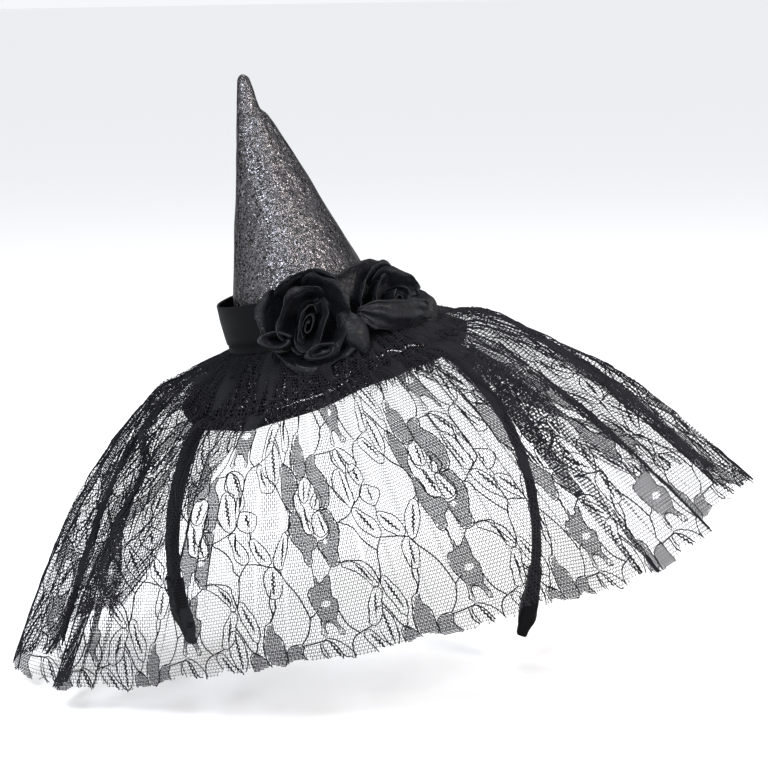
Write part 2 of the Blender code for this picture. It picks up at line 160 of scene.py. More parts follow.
def add_lamps():
    """Three soft area lamps that face the hat, and a pale world."""
    for row in LAMPS:
        lamp = bpy.data.lights.new(row["name"] + "_lamp", "AREA")
        lamp.shape = "SQUARE"
        lamp.size, lamp.energy, lamp.color = row["size"], row["watts"], row["colour"]
        holder = new_object(row["name"] + "_lamp", lamp)
        holder.location = row["place"]
        holder.rotation_euler = (VIEW_TARGET - Vector(row["place"])).to_track_quat("-Z", "Y").to_euler()
    world = bpy.data.worlds.new("studio")
    world.use_nodes = True
    world.node_tree.nodes["Background"].inputs["Color"].default_value = WORLD_COLOUR
    world.node_tree.nodes["Background"].inputs["Strength"].default_value = 1.0
    bpy.context.scene.world = world
    bpy.context.scene.view_settings.view_transform = "Standard"


add_floor()
add_lamps()
print("lamps:", [row["name"] for row in LAMPS])

# %% [markdown]
# ## Finishes
#
# Cloth is never one flat colour. Each finish starts from one Principled shader. Effects that
# several finishes share are node groups, built once: glitter, which turns the normal of small
# random cells so that they catch the lamps one by one, and weave, which crosses two fine waves
# for the threads and adds slow shade changes.

# %% Node helpers
def feed(tree, node, inputs):
    """Give sockets their values, or a link where the value is another node's socket."""
    for label, value in inputs.items():
        if isinstance(value, bpy.types.NodeSocket):
            tree.links.new(value, node.inputs[label])
        else:
            node.inputs[label].default_value = value


def add_node(tree, kind, inputs, output=0, **settings):
    """New node with its settings and inputs; gives back one of its outputs."""
    node = tree.nodes.new("ShaderNode" + kind)
    for name, value in settings.items():
        setattr(node, name, value)
    feed(tree, node, inputs)
    return node.outputs[output]


def sum_node(tree, operation, first, second, kind="Math"):
    """Math node, or with kind VectorMath the same for vectors."""
    return add_node(tree, kind, {0: first, 1: second}, operation=operation)


def mixed(tree, share, low, high):
    """Colour between two others."""
    return add_node(tree, "Mix", {"Factor": share, 6: low, 7: high}, 2, data_type="RGBA")


def group_with(name, inputs, outputs):
    """New shader node group with named sockets, what its inputs give, and its last node."""
    group = bpy.data.node_groups.new(name, "ShaderNodeTree")
    for way, sockets in (("INPUT", inputs), ("OUTPUT", outputs)):
        for label, kind in sockets.items():
            group.interface.new_socket(label, in_out=way, socket_type="NodeSocket" + kind)
    return group, group.nodes.new("NodeGroupInput").outputs, group.nodes.new("NodeGroupOutput")


def noise_bump(tree, noise_inputs, bump_inputs):
    """Normal of the soft creases of cloth that was pulled or folded."""
    place = add_node(tree, "TexCoord", {}, "Object")
    creases = add_node(tree, "TexNoise", {"Vector": place, **noise_inputs}, "Fac")
    return add_node(tree, "Bump", {"Height": creases, **bump_inputs}, "Normal")


# %% Glitter and weave groups
FLAKE_EDGE = 4.0
FLAKE_RIM = 0.30
THREAD_WOBBLE = 0.6
SHADE_NOISE = {"Scale": 90.0, "Detail": 6.0}


def make_glitter():
    """Random flakes: a shade for each cell, and its own tilt of the normal."""
    group, given, end = group_with(
        "glitter",
        {"Scale": "Float", "Tilt": "Float", "Dark": "Color", "Bright": "Color", "Cover": "Float"},
        {"Color": "Color", "Normal": "Vector"},
    )
    place = add_node(group, "TexCoord", {}, "Object")
    flakes = add_node(group, "TexVoronoi", {"Vector": place, "Scale": given["Scale"]}, "Color")
    bare = sum_node(group, "SUBTRACT", 1.0, given["Cover"])
    shown = sum_node(group, "SUBTRACT", add_node(group, "SeparateColor", {0: flakes}), bare)
    cover = add_node(group, "Clamp", {"Value": sum_node(group, "MULTIPLY", shown, FLAKE_EDGE)})
    centred = sum_node(group, "SUBTRACT", flakes, (0.5, 0.5, 0.5), "VectorMath")
    tilted = add_node(group, "VectorMath", {0: centred, "Scale": given["Tilt"]}, operation="SCALE")
    surface = add_node(group, "NewGeometry", {}, "Normal")
    added = sum_node(group, "ADD", surface, tilted, "VectorMath")
    feed(group, end, {
        "Color": mixed(group, cover, given["Dark"], given["Bright"]),
        "Normal": add_node(group, "VectorMath", {0: added}, operation="NORMALIZE"),
    })
    return group


def make_weave():
    """Crossed threads for a Bump node, and a slow shade for the colour."""
    group, given, end = group_with(
        "weave",
        {"Scale": "Float", "Lift": "Float", "Low": "Color", "High": "Color"},
        {"Color": "Color", "Height": "Float"},
    )
    place = add_node(group, "TexCoord", {}, "Object")
    threads = {"Vector": place, "Scale": given["Scale"], "Distortion": THREAD_WOBBLE}
    waves = [add_node(group, "TexWave", threads, "Fac", bands_direction=way) for way in ("X", "Z")]
    shade = add_node(group, "TexNoise", {"Vector": place, **SHADE_NOISE}, "Fac")
    feed(group, end, {
        "Color": mixed(group, shade, given["Low"], given["High"]),
        "Height": sum_node(group, "MULTIPLY", sum_node(group, "ADD", *waves), given["Lift"]),
    })
    return group


GLITTER = make_glitter()
WEAVE = make_weave()
print("groups:", [group.name for group in bpy.data.node_groups])

# %% Finishes from the two groups
GLITTER_ROWS = table(
    "name scale tilt cover roughness crinkle dark bright",
    ("pewter_lame", 2300.0, 0.52, 0.72, 0.22, 1.0, (0.034, 0.033, 0.032), (0.135, 0.13, 0.138)),
    ("brim_lame", 2100.0, 0.8, 0.2, 0.25, 0.5, (0.005, 0.005, 0.006), (0.3, 0.28, 0.28)),
    # The edge's copy of the brim's lamé has more and brighter flakes: a painted highlight where the fold of
    # the cut edge catches the light.
    ("edge_lame", 2300.0, 0.9, 0.5, 0.22, 1.0, (0.01, 0.01, 0.01), (0.4, 0.39, 0.42)),
)
WEAVE_ROWS = table(
    "name scale lift bump roughness sheen gloss crease low high",
    ("black_satin", 2600.0, 0.15, 0.1, 0.36, 0.03, 0.15, 0.55,
     (0.0025, 0.0026, 0.0034), (0.008, 0.0085, 0.011)),
    ("cuff_ribbon", 2200.0, 0.5, 0.25, 0.62, 0.01, 0.04, 0.0, (0.003, 0.003, 0.0034), (0.006, 0.006, 0.0068)),
    ("band_ribbon", 1500.0, 1.0, 0.55, 0.7, 0.02, 0.06, 0.0, (0.003, 0.003, 0.0035), (0.012, 0.012, 0.014)),
    ("lace_thread", 3000.0, 0.4, 0.15, 0.6, 0.0, 0.0, 0.0, (0.01, 0.01, 0.0115), (0.022, 0.022, 0.025)),
)
CRINKLE_NOISE = {"Scale": 260.0, "Detail": 5.0, "Distortion": 1.2}
CREASE_NOISE = {"Scale": 340.0, "Detail": 4.0, "Distortion": 1.6}
CRINKLE_DEPTH = 0.0012
CREASE_DEPTH = 0.0010
THREAD_DEPTH = 0.0002


def glitter_finish(row):
    """Metal cloth: random flakes over a dark ground."""
    material, shader = plain_shader(row["name"], row["bright"], row["roughness"])
    tree = material.node_tree
    flakes = add_node(tree, "Group", {
        "Scale": row["scale"], "Tilt": row["tilt"], "Cover": row["cover"],
        "Dark": (*row["dark"], 1.0), "Bright": (*row["bright"], 1.0),
    }, node_tree=GLITTER).node.outputs
    feed(tree, shader, {
        "Base Color": flakes["Color"],
        "Normal": noise_bump(tree, CRINKLE_NOISE, {
            "Strength": row["crinkle"], "Distance": CRINKLE_DEPTH, "Normal": flakes["Normal"],
        }),
        "Metallic": 1.0,
        "Specular Tint": (FLAKE_RIM, FLAKE_RIM, FLAKE_RIM, 1.0),
    })
    return material


def weave_finish(row):
    """Woven cloth: crossed threads in the bump and a slow change of shade."""
    material, shader = plain_shader(row["name"], row["high"], row["roughness"])
    tree = material.node_tree
    threads = add_node(tree, "Group", {
        "Scale": row["scale"], "Lift": row["lift"],
        "Low": (*row["low"], 1.0), "High": (*row["high"], 1.0),
    }, node_tree=WEAVE).node.outputs
    bump = {"Height": threads["Height"], "Strength": row["bump"], "Distance": THREAD_DEPTH}
    if row["crease"]:
        strength = {"Strength": row["crease"], "Distance": CREASE_DEPTH}
        bump["Normal"] = noise_bump(tree, CREASE_NOISE, strength)
    feed(tree, shader, {
        "Base Color": threads["Color"], "Normal": add_node(tree, "Bump", bump, "Normal"),
        "Specular IOR Level": row["gloss"], "Sheen Weight": row["sheen"],
        "Sheen Roughness": 0.35, "Sheen Tint": (0.75, 0.86, 1.0, 1.0),
    })
    return material


FINISH = {row["name"]: glitter_finish(row) for row in GLITTER_ROWS}
FINISH.update({row["name"]: weave_finish(row) for row in WEAVE_ROWS})
print("finishes:", list(FINISH))

# %% [markdown]
# ## The hat's own frame
#
# Everything above the headband leans 14 degrees. Pieces are shaped upright, round the hat's own
# axis, and then moved by one matrix, which is simpler than shaping them at a slant.

# %% Hat frame and mesh helpers
HAT_LEAN = radians(14.0)
HAT_PLACE = Vector((-0.01229, 0.0, -0.00396))
HAT = Matrix.Translation(HAT_PLACE) @ Matrix.Rotation(-HAT_LEAN, 4, "Y")
MERGE = 1e-6
SATIN_WALL = 0.0003


def ease(value):
    """Smooth step from 0 to 1."""
    value = min(max(value, 0.0), 1.0)
    return value * value * (3.0 - 2.0 * value)


def polar(angle, radius, height):
    """Point in the hat's frame: angle from the front, + towards the wearer's left."""
    return Vector((radius * sin(angle), -radius * cos(angle), height))


def bent_grid(columns, rows, place, closed=False):
    """Bend a flat grid into a sheet: place(u, v) gives the point for u and v from 0 to 1."""
    sheet = bmesh.new()
    bmesh.ops.create_grid(sheet, x_segments=columns, y_segments=rows, size=0.5)
    for vertex in sheet.verts:
        vertex.co = place(vertex.co.x + 0.5, vertex.co.y + 0.5)
    if closed:
        bmesh.ops.remove_doubles(sheet, verts=sheet.verts, dist=MERGE)
    bmesh.ops.recalc_face_normals(sheet, faces=sheet.faces)
    mesh = as_mesh(sheet)
    mesh.shade_smooth()
    return mesh


def add_piece(name, mesh, finish, nodes=(), wall=0.0, offset=0.0):
    """Object for a mesh: its finish, body, the solids that it stands for and its wall."""
    piece = new_object(name, mesh)
    mesh.materials.clear()
    mesh.materials.append(FINISH[finish])
    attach(piece, "root")
    if nodes:
        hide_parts(*nodes)
    if wall:
        solid = piece.modifiers.new("wall", "SOLIDIFY")
        solid.thickness = wall
        solid.offset = offset
    return piece


def add_satin(name, grid, place, nodes=(), wall=SATIN_WALL):
    """Piece of thin satin, bent from a grid of so many columns and rows."""
    return add_piece(name, bent_grid(*grid, place), "black_satin", nodes, wall)


# %% [markdown]
# ## Cone
#
# The cone is card covered in metal cloth, and its tip was pinched into a small nub. A bent grid
# closed into a tube gives it. It stands a millimetre nearer the wearer's right than the solid, as
# the photograph shows, and slow sine ridges pull it into the shallow creases of glued cloth.

# %% Cone
BRIM_THICKNESS = 0.0022
GAP = 0.0003
CROWN_BASE_RADIUS = 0.0300
CROWN_OFFSET = 0.0011
CROWN_LEAN = 0.0009
CROWN_BULGE = 0.0003
CROWN_HEIGHT = 0.0970
CROWN_WALL = 0.0015
CROWN_CLOSING = 0.972
CROWN_COLUMNS = 112
CROWN_ROWS = 100
TIP_ROWS = table(
    "below swell",
    (0.0, 0.00075), (0.0023, 0.00075), (0.0064, 0.0003), (0.01, -0.00025), (0.0136, -0.00066),
    (0.0158, -0.00012), (0.02, 0.0), (0.1, 0.0),
)
TIP_ROUND = 0.0021
CREASES = table(
    "turns climb depth",
    (3.0, 5.0, 0.00022), (5.0, -9.0, 0.00016), (9.0, 21.0, 0.00009), (17.0, -34.0, 0.00006),
)


def cone_point(u, v):
    """Point of the cone's outside; the swell is taken on the wearer's left side alone."""
    share = 1.0 - (1.0 - v) ** 1.25
    angle = tau * u
    below = CROWN_HEIGHT * (1.0 - share)
    swell = float(np.interp(below, [r["below"] for r in TIP_ROWS], [r["swell"] for r in TIP_ROWS]))
    radius = CROWN_BASE_RADIUS * (1.0 - CROWN_CLOSING * share) + swell
    radius += CROWN_BULGE * sin(pi * share)
    if below < TIP_ROUND:
        radius *= sqrt(max(1.0 - ((TIP_ROUND - below) / TIP_ROUND) ** 2, 0.0))
    for row in CREASES:
        wave = sin(row["turns"] * angle + row["climb"] * share)
        radius += row["depth"] * wave * min(1.0, 6.0 * share) * ease((0.96 - share) / 0.2)
    base = BRIM_THICKNESS + GAP + CROWN_WALL * CROWN_BASE_RADIUS / CROWN_HEIGHT
    point = polar(angle, radius, base + CROWN_HEIGHT * share)
    point.x += swell - CROWN_OFFSET - CROWN_LEAN * share
    return HAT @ point


cone = add_piece(
    "glitter_cone", bent_grid(CROWN_COLUMNS, CROWN_ROWS, cone_point, closed=True),
    "pewter_lame", ["crown_cone"], CROWN_WALL, -1.0,
)
cone.modifiers["wall"].thickness_clamp = 1.0
print("cone faces:", len(cone.data.polygons))

# %% [markdown]
# ## Ribbon ring
#
# A stiff ribbon stands round the cone's foot like a cuff. A closed bent grid follows its short
# profile round the hat's axis, and the wall is given after. Its top is pressed down a little
# where the side rose hangs over it.

# %% Ribbon ring
CUFF_RADIUS = 0.0327
CUFF_HEIGHT = 0.0172
CUFF_WALL = 0.0008
CUFF_FOOT = 0.0043
CUFF_STEPS = 120
CUFF_PROFILE = (
    (1.00, 0.0005), (0.985, 0.0003), (0.65, 0.0000), (0.30, 0.0001), (0.15, 0.0002), (0.135, 0.0006),
    (0.0, 0.0005), (-0.07, 0.0002),
)
CUFF_PRESS = {"angle": 84.0, "spread": 34.0, "depth": 0.0040}


def cuff_point(u, v):
    """Point of the ring's outside; the small step near its foot is the sewn edge."""
    height, dip = CUFF_PROFILE[round(v * (len(CUFF_PROFILE) - 1))]
    degrees = 360.0 * u - 90.0
    press = math.exp(-((degrees - CUFF_PRESS["angle"]) / CUFF_PRESS["spread"]) ** 2)
    level = CUFF_FOOT + CUFF_HEIGHT * height - CUFF_PRESS["depth"] * max(height, 0.0) * press
    return HAT @ polar(radians(degrees), CUFF_RADIUS - dip, level)


cuff = add_piece(
    "ribbon_cuff", bent_grid(CUFF_STEPS, len(CUFF_PROFILE) - 1, cuff_point, closed=True),
    "cuff_ribbon", ["hatband_ribbon"], CUFF_WALL, -1.0,
)
print("cuff faces:", len(cuff.data.polygons))

# %% [markdown]
# ## Brim
#
# The brim is a covered ring that droops like a bell, more at the wearer's right. The same rows
# as in the solid give its droop; here the ring is finer, with soft dents in the cloth.

# %% Brim
BRIM_INNER_RADIUS = 0.0280
BRIM_FLAT_RADIUS = 0.0325
BRIM_RADIUS = 0.0540
BRIM_CURVE = 1.5
BRIM_COLUMNS = 144
BRIM_RINGS = 14
BRIM_DENT = 0.0002
BRIM_ROWS = table(
    "angle droop",
    (-180.0, 0.014), (-130.0, 0.013), (-92.0, 0.013), (-60.0, 0.019), (-35.0, 0.02), (-10.0, 0.0185),
    (12.0, 0.015), (45.0, 0.014), (60.0, 0.0145), (90.0, 0.0105), (130.0, 0.012), (180.0, 0.014),
)


def read_rows(rows, degrees, column):
    """Values of a column at angles in degrees, smoothly joined between the rows."""
    angles = np.array([row["angle"] for row in rows])
    values = np.array([row[column] for row in rows])
    index = np.clip(np.searchsorted(angles, degrees, side="right") - 1, 0, len(angles) - 2)
    share = np.clip((degrees - angles[index]) / (angles[index + 1] - angles[index]), 0.0, 1.0)
    share = share * share * (3.0 - 2.0 * share)
    return values[index] + share * (values[index + 1] - values[index])


def bell(radius):
    """Share of the edge's droop that is reached at a radius."""
    outside = np.maximum(radius - BRIM_FLAT_RADIUS, 0.0) / (BRIM_RADIUS - BRIM_FLAT_RADIUS)
    return outside ** BRIM_CURVE


def brim_point(u, v):
    """Point of the middle of the brim's wall."""
    degrees = 360.0 * u - 180.0
    radius = BRIM_INNER_RADIUS + (BRIM_RADIUS - BRIM_INNER_RADIUS) * v
    droop = float(read_rows(BRIM_ROWS, degrees, "droop")) * float(bell(radius))
    angle = radians(degrees)
    dent = BRIM_DENT * v * (sin(9.0 * angle + 20.0 * v) + sin(17.0 * angle) * v)
    return HAT @ polar(angle, radius, BRIM_THICKNESS / 2.0 - droop - dent)


brim = add_piece(
    "brim_ring", bent_grid(BRIM_COLUMNS, BRIM_RINGS, brim_point, closed=True),
    "brim_lame", ["brim"], BRIM_THICKNESS - 0.0002,
)
brim_edge = brim.modifiers.new("edges", "BEVEL")
brim_edge.width = 0.0006
brim_edge.segments = 2
brim_edge.limit_method = "ANGLE"
brim_edge.angle_limit = radians(50.0)
print("brim faces:", len(brim.data.polygons))

# %% [markdown]
# ## Headband
#
# A plastic band wound in ribbon, with a short sleeve sewn round each end. The winding shows as
# shallow slanting steps, so the strip is fine along its length and each turn of the ribbon is a
# small saw tooth in its thickness.

# %% Headband
BAND_HALF_SPAN = 0.0675
BAND_RISE = 0.0835
BAND_THICKNESS = 0.0038
BAND_WIDTH = 0.0110
BAND_END_ANGLE = radians(115.0)
BAND_TIP_WIDTH = 0.0040
BAND_TAPER_LENGTH = 0.0060
BAND_SQUARE = 0.45
WALK_STEPS = 400
BAND_COLUMNS = 28
BAND_ROWS = 360
WINDING_TURNS = 30.0
WINDING_STEP = 0.00025
TWIST_RIGHT = radians(16.0)
TWIST_LEFT = radians(4.0)


def band_point(turn, outwards=0.0):
    """Point of the band's middle line at an ellipse angle, moved along its normal."""
    across, up = sin(turn), cos(turn)
    normal = Vector((BAND_RISE * across, 0.0, BAND_HALF_SPAN * up)).normalized()
    middle = Vector((BAND_HALF_SPAN * across, 0.0, BAND_RISE * up + BAND_THICKNESS / 2.0 - BAND_RISE))
    return middle + normal * outwards


def band_turn(length):
    """Ellipse angle at a length along the band's middle line, measured from its end."""
    walked = 0.0
    last = band_point(BAND_END_ANGLE)
    for step in range(1, WALK_STEPS + 1):
        turn = BAND_END_ANGLE * (1.0 - step / WALK_STEPS)
        here = band_point(turn)
        walked += (here - last).length
        if walked >= length:
            return turn
        last = here
    return 0.0


def squared(angle, power):
    """Cosine and sine of a rounded rectangle."""
    return tuple(math.copysign(abs(part) ** power, part) for part in (cos(angle), sin(angle)))


TAPER_TURN = band_turn(BAND_TAPER_LENGTH)


def arm_twist(turn):
    """How far the band has twisted about its own length: most in the wearer's right arm."""
    most = TWIST_RIGHT if turn < 0.0 else TWIST_LEFT
    return most * ease((abs(turn) - radians(20.0)) / radians(60.0))


def band_section(turn, outwards, sideways):
    """Point of the band's section, in the twisted arm."""
    twist = arm_twist(turn)
    point = band_point(turn, outwards * cos(twist) + sideways * sin(twist))
    point.y = sideways * cos(twist) - outwards * sin(twist)
    return point


def band_surface(u, v):
    """Skin of the wound band: u goes round it and v along it."""
    turn = BAND_END_ANGLE * (2.0 * v - 1.0)
    beyond = max(abs(turn) - TAPER_TURN, 0.0) / (BAND_END_ANGLE - TAPER_TURN)
    width = BAND_TIP_WIDTH + (BAND_WIDTH - BAND_TIP_WIDTH) * sqrt(max(1.0 - beyond ** 2, 0.0))
    across, through = squared(tau * u, BAND_SQUARE)
    slant = v * WINDING_TURNS + 0.25 * across
    tooth = (slant % 1.0) * WINDING_STEP * (1.0 - beyond)
    thick = BAND_THICKNESS / 2.0 - WINDING_STEP + tooth
    if v < 1e-6 or v > 1.0 - 1e-6:
        across, thick = across * 0.6, thick * 0.5
    return band_section(turn, through * thick, across * (width / 2.0 - WINDING_STEP + tooth))


def close_ends(mesh):
    """Fill the two open rims of a tube."""
    tube = bmesh.new()
    tube.from_mesh(mesh)
    rims = [edge for edge in tube.edges if edge.is_boundary]
    bmesh.ops.holes_fill(tube, edges=rims, sides=0)
    bmesh.ops.recalc_face_normals(tube, faces=tube.faces)
    tube.to_mesh(mesh)
    tube.free()
    return mesh


band = add_piece(
    "wound_band", close_ends(bent_grid(BAND_COLUMNS, BAND_ROWS, band_surface, closed=True)),
    "band_ribbon", ["headband"],
)
print("band faces:", len(band.data.polygons))

# %% End sleeves
WRAP_LENGTH = 0.0222
WRAP_FROM_TIP = 0.0033
WRAP_WALL = 0.0010
WRAP_SQUARE = 0.40
WRAP_GRID = (40, 24)
WRAP_SLANT = 0.0034
LOW_TURN = band_turn(WRAP_FROM_TIP)
HIGH_TURN = band_turn(WRAP_FROM_TIP + WRAP_LENGTH)
SLANT_TURN = LOW_TURN - band_turn(WRAP_FROM_TIP + WRAP_SLANT)
NARROWER = 0.0019


def add_sleeve(name, side, flare, node):
    """Ribbon sleeve round one end of the band, its lower edge cut at a slant."""
    half_wide = BAND_WIDTH / 2.0 + GAP + WRAP_WALL
    half_thick = BAND_THICKNESS / 2.0 + GAP + WRAP_WALL

    def place(u, v):
        across, through = squared(tau * u, WRAP_SQUARE)
        turn = LOW_TURN + (HIGH_TURN - LOW_TURN) * v - SLANT_TURN * (1.0 - v) * across
        close = 0.0007 * ease(v / 0.8) - flare * (1.0 - v) ** 2 + NARROWER * ease((0.30 - v) / 0.30)
        pucker = 0.00015 * sin(26.0 * v + 5.0 * u) * sin(pi * v) - close
        return band_section(side * turn, through * (half_thick + pucker), across * (half_wide + pucker))

    mesh = bent_grid(*WRAP_GRID, place, closed=True)
    add_piece(name, mesh, "cuff_ribbon", [node], WRAP_WALL * 0.6, -1.0)


add_sleeve("sleeve_left", 1.0, 0.0009, "end_wrap_left")
add_sleeve("sleeve_right", -1.0, 0.0000, "end_wrap_right")
print("sleeves: 2")

# %% [markdown]
# ## Satin roses
#
# Each rose is folded from strips of satin: a rolled bud in nested cups of petals that open
# towards the rim, where the cut edge rolls over. Every petal is its own bent grid, so that its
# lip can curl and its rim can wave, and a thin wall turns it into cloth. Two loops, a leaf and
# two folds of the same satin fill the gaps round the roses.

# %% Rose tables
ROSE_ROWS = table(
    "name angle seat tilt size wide turn far flat slope",
    ("front", 0.0, 0.0132, 10.0, 1.0, 1.02, 0.0, 1.02, 1.0, 0.0),
    ("side", 45.5, 0.0104, 12.0, 0.82, 1.16, 35.0, 1.4, 0.88, 0.34),
)
BUD_WALL = 0.0005
BUD_GRID = (60, 14)
PETAL_GRID = (56, 28)
LOOP_GRID = (56, 14)
LEAF_GRID = (28, 32)
FOLD_GRID = (72, 24)
ROSE_FOOT_RADIUS = 0.0090
ROSE_CUPS = 5
CRUMPLE = table("scale push", (60.0, 0.0022), (150.0, 0.0016), (420.0, 0.0004))
CRUMPLE_SHIFTS = (Vector((9.3, -1.5, -7.9)), Vector((-5.5, 4.4, 2.2)), Vector((1.7, 8.1, -3.3)))
PETAL_ROWS = table(
    "start sweep cup mouth height lip slim aside drop",
    (5.0, 235.0, 1, 0.0062, 0.0138, 0.0006, 0.5, -0.0012, 0.004),
    (175.0, 215.0, 2, 0.0084, 0.013, 0.0012, 0.58, -0.001, 0.0036),
    (40.0, 170.0, 3, 0.0116, 0.0134, 0.0016, 0.8, -0.0006, 0.002),
    (215.0, 135.0, 4, 0.0132, 0.0112, 0.003, 0.95, 0.0006, 0.001),
    (330.0, 120.0, 4, 0.0134, 0.0122, 0.0022, 0.95, 0.0008, 0.0),
    (14.0, 122.0, 5, 0.0152, 0.0112, 0.0014, 1.0, 0.0, 0.0),
    (128.0, 100.0, 5, 0.0156, 0.01, 0.0028, 1.0, -0.0006, 0.0),
    (208.0, 128.0, 5, 0.0172, 0.0096, 0.0034, 1.0, -0.0006, 0.001),
)
SQUEEZE_TURN = radians(62.0)


def rose_frame(row):
    """Matrix from a rose's own frame, whose Z faces outwards, to the world."""
    tilt = radians(row["tilt"])
    reach = CUFF_RADIUS + GAP + (ROSE_FOOT_RADIUS * row["size"] + 0.0010) * sin(tilt)
    return (
        HAT
        @ Matrix.Rotation(radians(row["angle"]), 4, "Z")
        @ Matrix.Translation(Vector((0.0, -reach, row["seat"])))
        @ Matrix.Rotation(pi / 2.0 - tilt, 4, "X")
    )


# %% Roses
def crumpled(point, seed, amount):
    """Point pushed about as soft satin is; three plain noises give the same push at each run."""
    moved = point.copy()
    for row in CRUMPLE:
        spot = point * row["scale"] + Vector((seed, 2.0 * seed, 0.0))
        moved += Vector([noise.noise(spot + shift) for shift in CRUMPLE_SHIFTS]) * row["push"] * amount
    return moved


def squeezed(point, slim):
    """Point of a ring pressed into a slanting oval."""
    turned = Matrix.Rotation(-SQUEEZE_TURN, 3, "Z") @ point
    turned.y *= slim
    turned.x *= 1.0 + 0.25 * (1.0 - slim)
    return Matrix.Rotation(SQUEEZE_TURN, 3, "Z") @ turned


def stretched(row, point):
    """Point of a rose drawn out to its own outline: wider on one side, sloping on the other."""
    point = point.copy()
    point.x *= row["wide"] if point.x < 0.0 else row["far"]
    point.y = point.y * row["flat"] - row["slope"] * max(point.x, 0.0)
    return row["size"] * point


def petal_place(row, petal, frame_matrix, number):
    """Function of the grid for one petal."""
    start = radians(petal["start"] + row["turn"])
    sweep = radians(petal["sweep"])
    foot = ROSE_FOOT_RADIUS * petal["cup"] / ROSE_CUPS
    seed = row["angle"] + 3.7 * number

    def place(u, v):
        edge = max(sin(pi * min(max(u, 0.0), 1.0)), 0.0) ** 0.42
        edge *= 1.0 + 0.10 * sin(tau * u * 1.5 + seed)
        rise = v * (0.55 + 0.45 * edge)
        angle = start + sweep * u
        roll = ease((rise - 0.70) / 0.30)
        curl = petal["lip"] * (0.65 + 0.35 * sin(5.0 * angle + seed))
        radius = foot + (petal["mouth"] - foot) * sin(rise * pi / 2.0)
        radius += curl * roll + 0.0010 * (u - 0.5) * rise
        height = petal["height"] * rise - curl * 0.9 * roll * roll
        point = Vector((radius * cos(angle), radius * sin(angle), height))
        point = crumpled(squeezed(point, petal["slim"]), seed, rise)
        point.z = max(point.z, 0.0) + 0.0004
        point.x += petal["aside"] * rise
        point.y -= petal["drop"] * rise
        return frame_matrix @ stretched(row, point)

    return place


def bud_place(row, frame_matrix):
    """Function of the grid for the rolled bud: a pressed spiral of one and a half turns."""
    def place(u, v):
        angle = 3.0 * pi * u + 0.6
        radius = 0.0007 + 0.0036 * u + 0.0004 * sin(pi * v)
        height = 0.0010 + 0.0118 * v - 0.0010 * u * v
        point = Vector((radius * cos(angle), radius * sin(angle), height))
        point = crumpled(squeezed(point, 0.45), row["angle"], 0.6 * v)
        point.x -= 0.0012 * v
        point.y -= 0.0042 * v
        return frame_matrix @ stretched(row, point)

    return place


for rose in ROSE_ROWS:
    matrix = rose_frame(rose)
    name = rose["name"]
    add_satin(f"satin_{name}_bud", BUD_GRID, bud_place(rose, matrix), [f"rose_{name}_bud"], BUD_WALL)
    for number, petal in enumerate(PETAL_ROWS, start=1):
        place = petal_place(rose, petal, matrix, number)
        add_satin(f"satin_{name}_petal_{number}", PETAL_GRID, place, [f"rose_{name}_petal_{number}"])
print("roses:", len(ROSE_ROWS), "petals each:", len(PETAL_ROWS))

# %% Loops and leaf of the front rose
LOOP_ROWS = table(
    "name x y long slim turn low high",
    ("left", -0.0135, -0.006, 0.0056, 0.5, -12.0, 0.005, 0.012),
    ("low", 0.0004, -0.0136, 0.0052, 0.46, 4.0, 0.006, 0.0126),
)
LEAF = {
    "x": 0.0128, "y": -0.0104, "long": 0.0086, "wide": 0.0058, "turn": 16.0, "low": 0.0072, "bulge": 0.0042,
}
FRONT_ROSE = rose_frame(ROSE_ROWS[0])


def on_front_rose(row, point):
    """Point turned and moved to its place on the front rose."""
    turned = Matrix.Rotation(radians(row["turn"]), 3, "Z") @ point
    return FRONT_ROSE @ (turned + Vector((row["x"], row["y"], 0.0)))


def loop_place(row):
    """Function of the grid for a strip that is rolled into an oval loop with a soft lip."""
    def place(u, v):
        angle = 0.4 + 6.0 * u
        radius = row["long"] * (0.58 + 0.42 * sin(v * pi / 2.0)) * (1.0 - 0.22 * u)
        radius += 0.0009 * ease((v - 0.65) / 0.35)
        height = row["low"] + (row["high"] - row["low"]) * sin(0.5 * pi * min(v / 0.8, 1.0))
        height -= 0.0012 * ease((v - 0.8) / 0.2)
        point = Vector((radius * cos(angle), row["slim"] * radius * sin(angle), height))
        return on_front_rose(row, crumpled(point, row["long"] * 900.0, 0.35))

    return place


def leaf_place(u, v):
    """Point of a puffed satin leaf, pointed at its lower end."""
    across = 2.0 * u - 1.0
    half = LEAF["wide"] * sin(pi * min(max(0.04 + 0.92 * v, 0.0), 1.0)) ** 0.7 * (0.62 + 0.38 * v)
    round_up = sqrt(max(1.0 - across ** 2, 0.0))
    height = LEAF["low"] + LEAF["bulge"] * round_up * sin(pi * (0.08 + 0.84 * v))
    point = Vector((half * across + 0.0010 * sin(3.0 * v), LEAF["long"] * (2.0 * v - 1.0), height))
    return on_front_rose(LEAF, crumpled(point, 5.0, 0.4))


for row in LOOP_ROWS:
    add_satin("satin_loop_" + row["name"], LOOP_GRID, loop_place(row))
add_satin("satin_leaf", LEAF_GRID, leaf_place)
print("loops:", len(LOOP_ROWS), "leaves: 1")

# %% Folds behind and under the side rose
BACK_FOLD_ROWS = table(
    "angle low high",
    (4.0, 0.0045, 0.018), (20.0, 0.0045, 0.0252), (30.0, 0.0045, 0.0266), (42.0, 0.0045, 0.0266),
    (52.0, 0.0045, 0.0242), (62.0, 0.0045, 0.0204), (70.0, 0.0045, 0.0168), (80.0, 0.0045, 0.009),
)
LOW_PETAL_ROWS = table(
    "angle low high",
    (22.0, 0.009, 0.012), (30.0, 0.003, 0.013), (38.0, -0.0002, 0.0112), (50.0, -0.001, 0.0088),
    (60.0, -0.0006, 0.0062), (65.0, 0.0018, 0.0042),
)


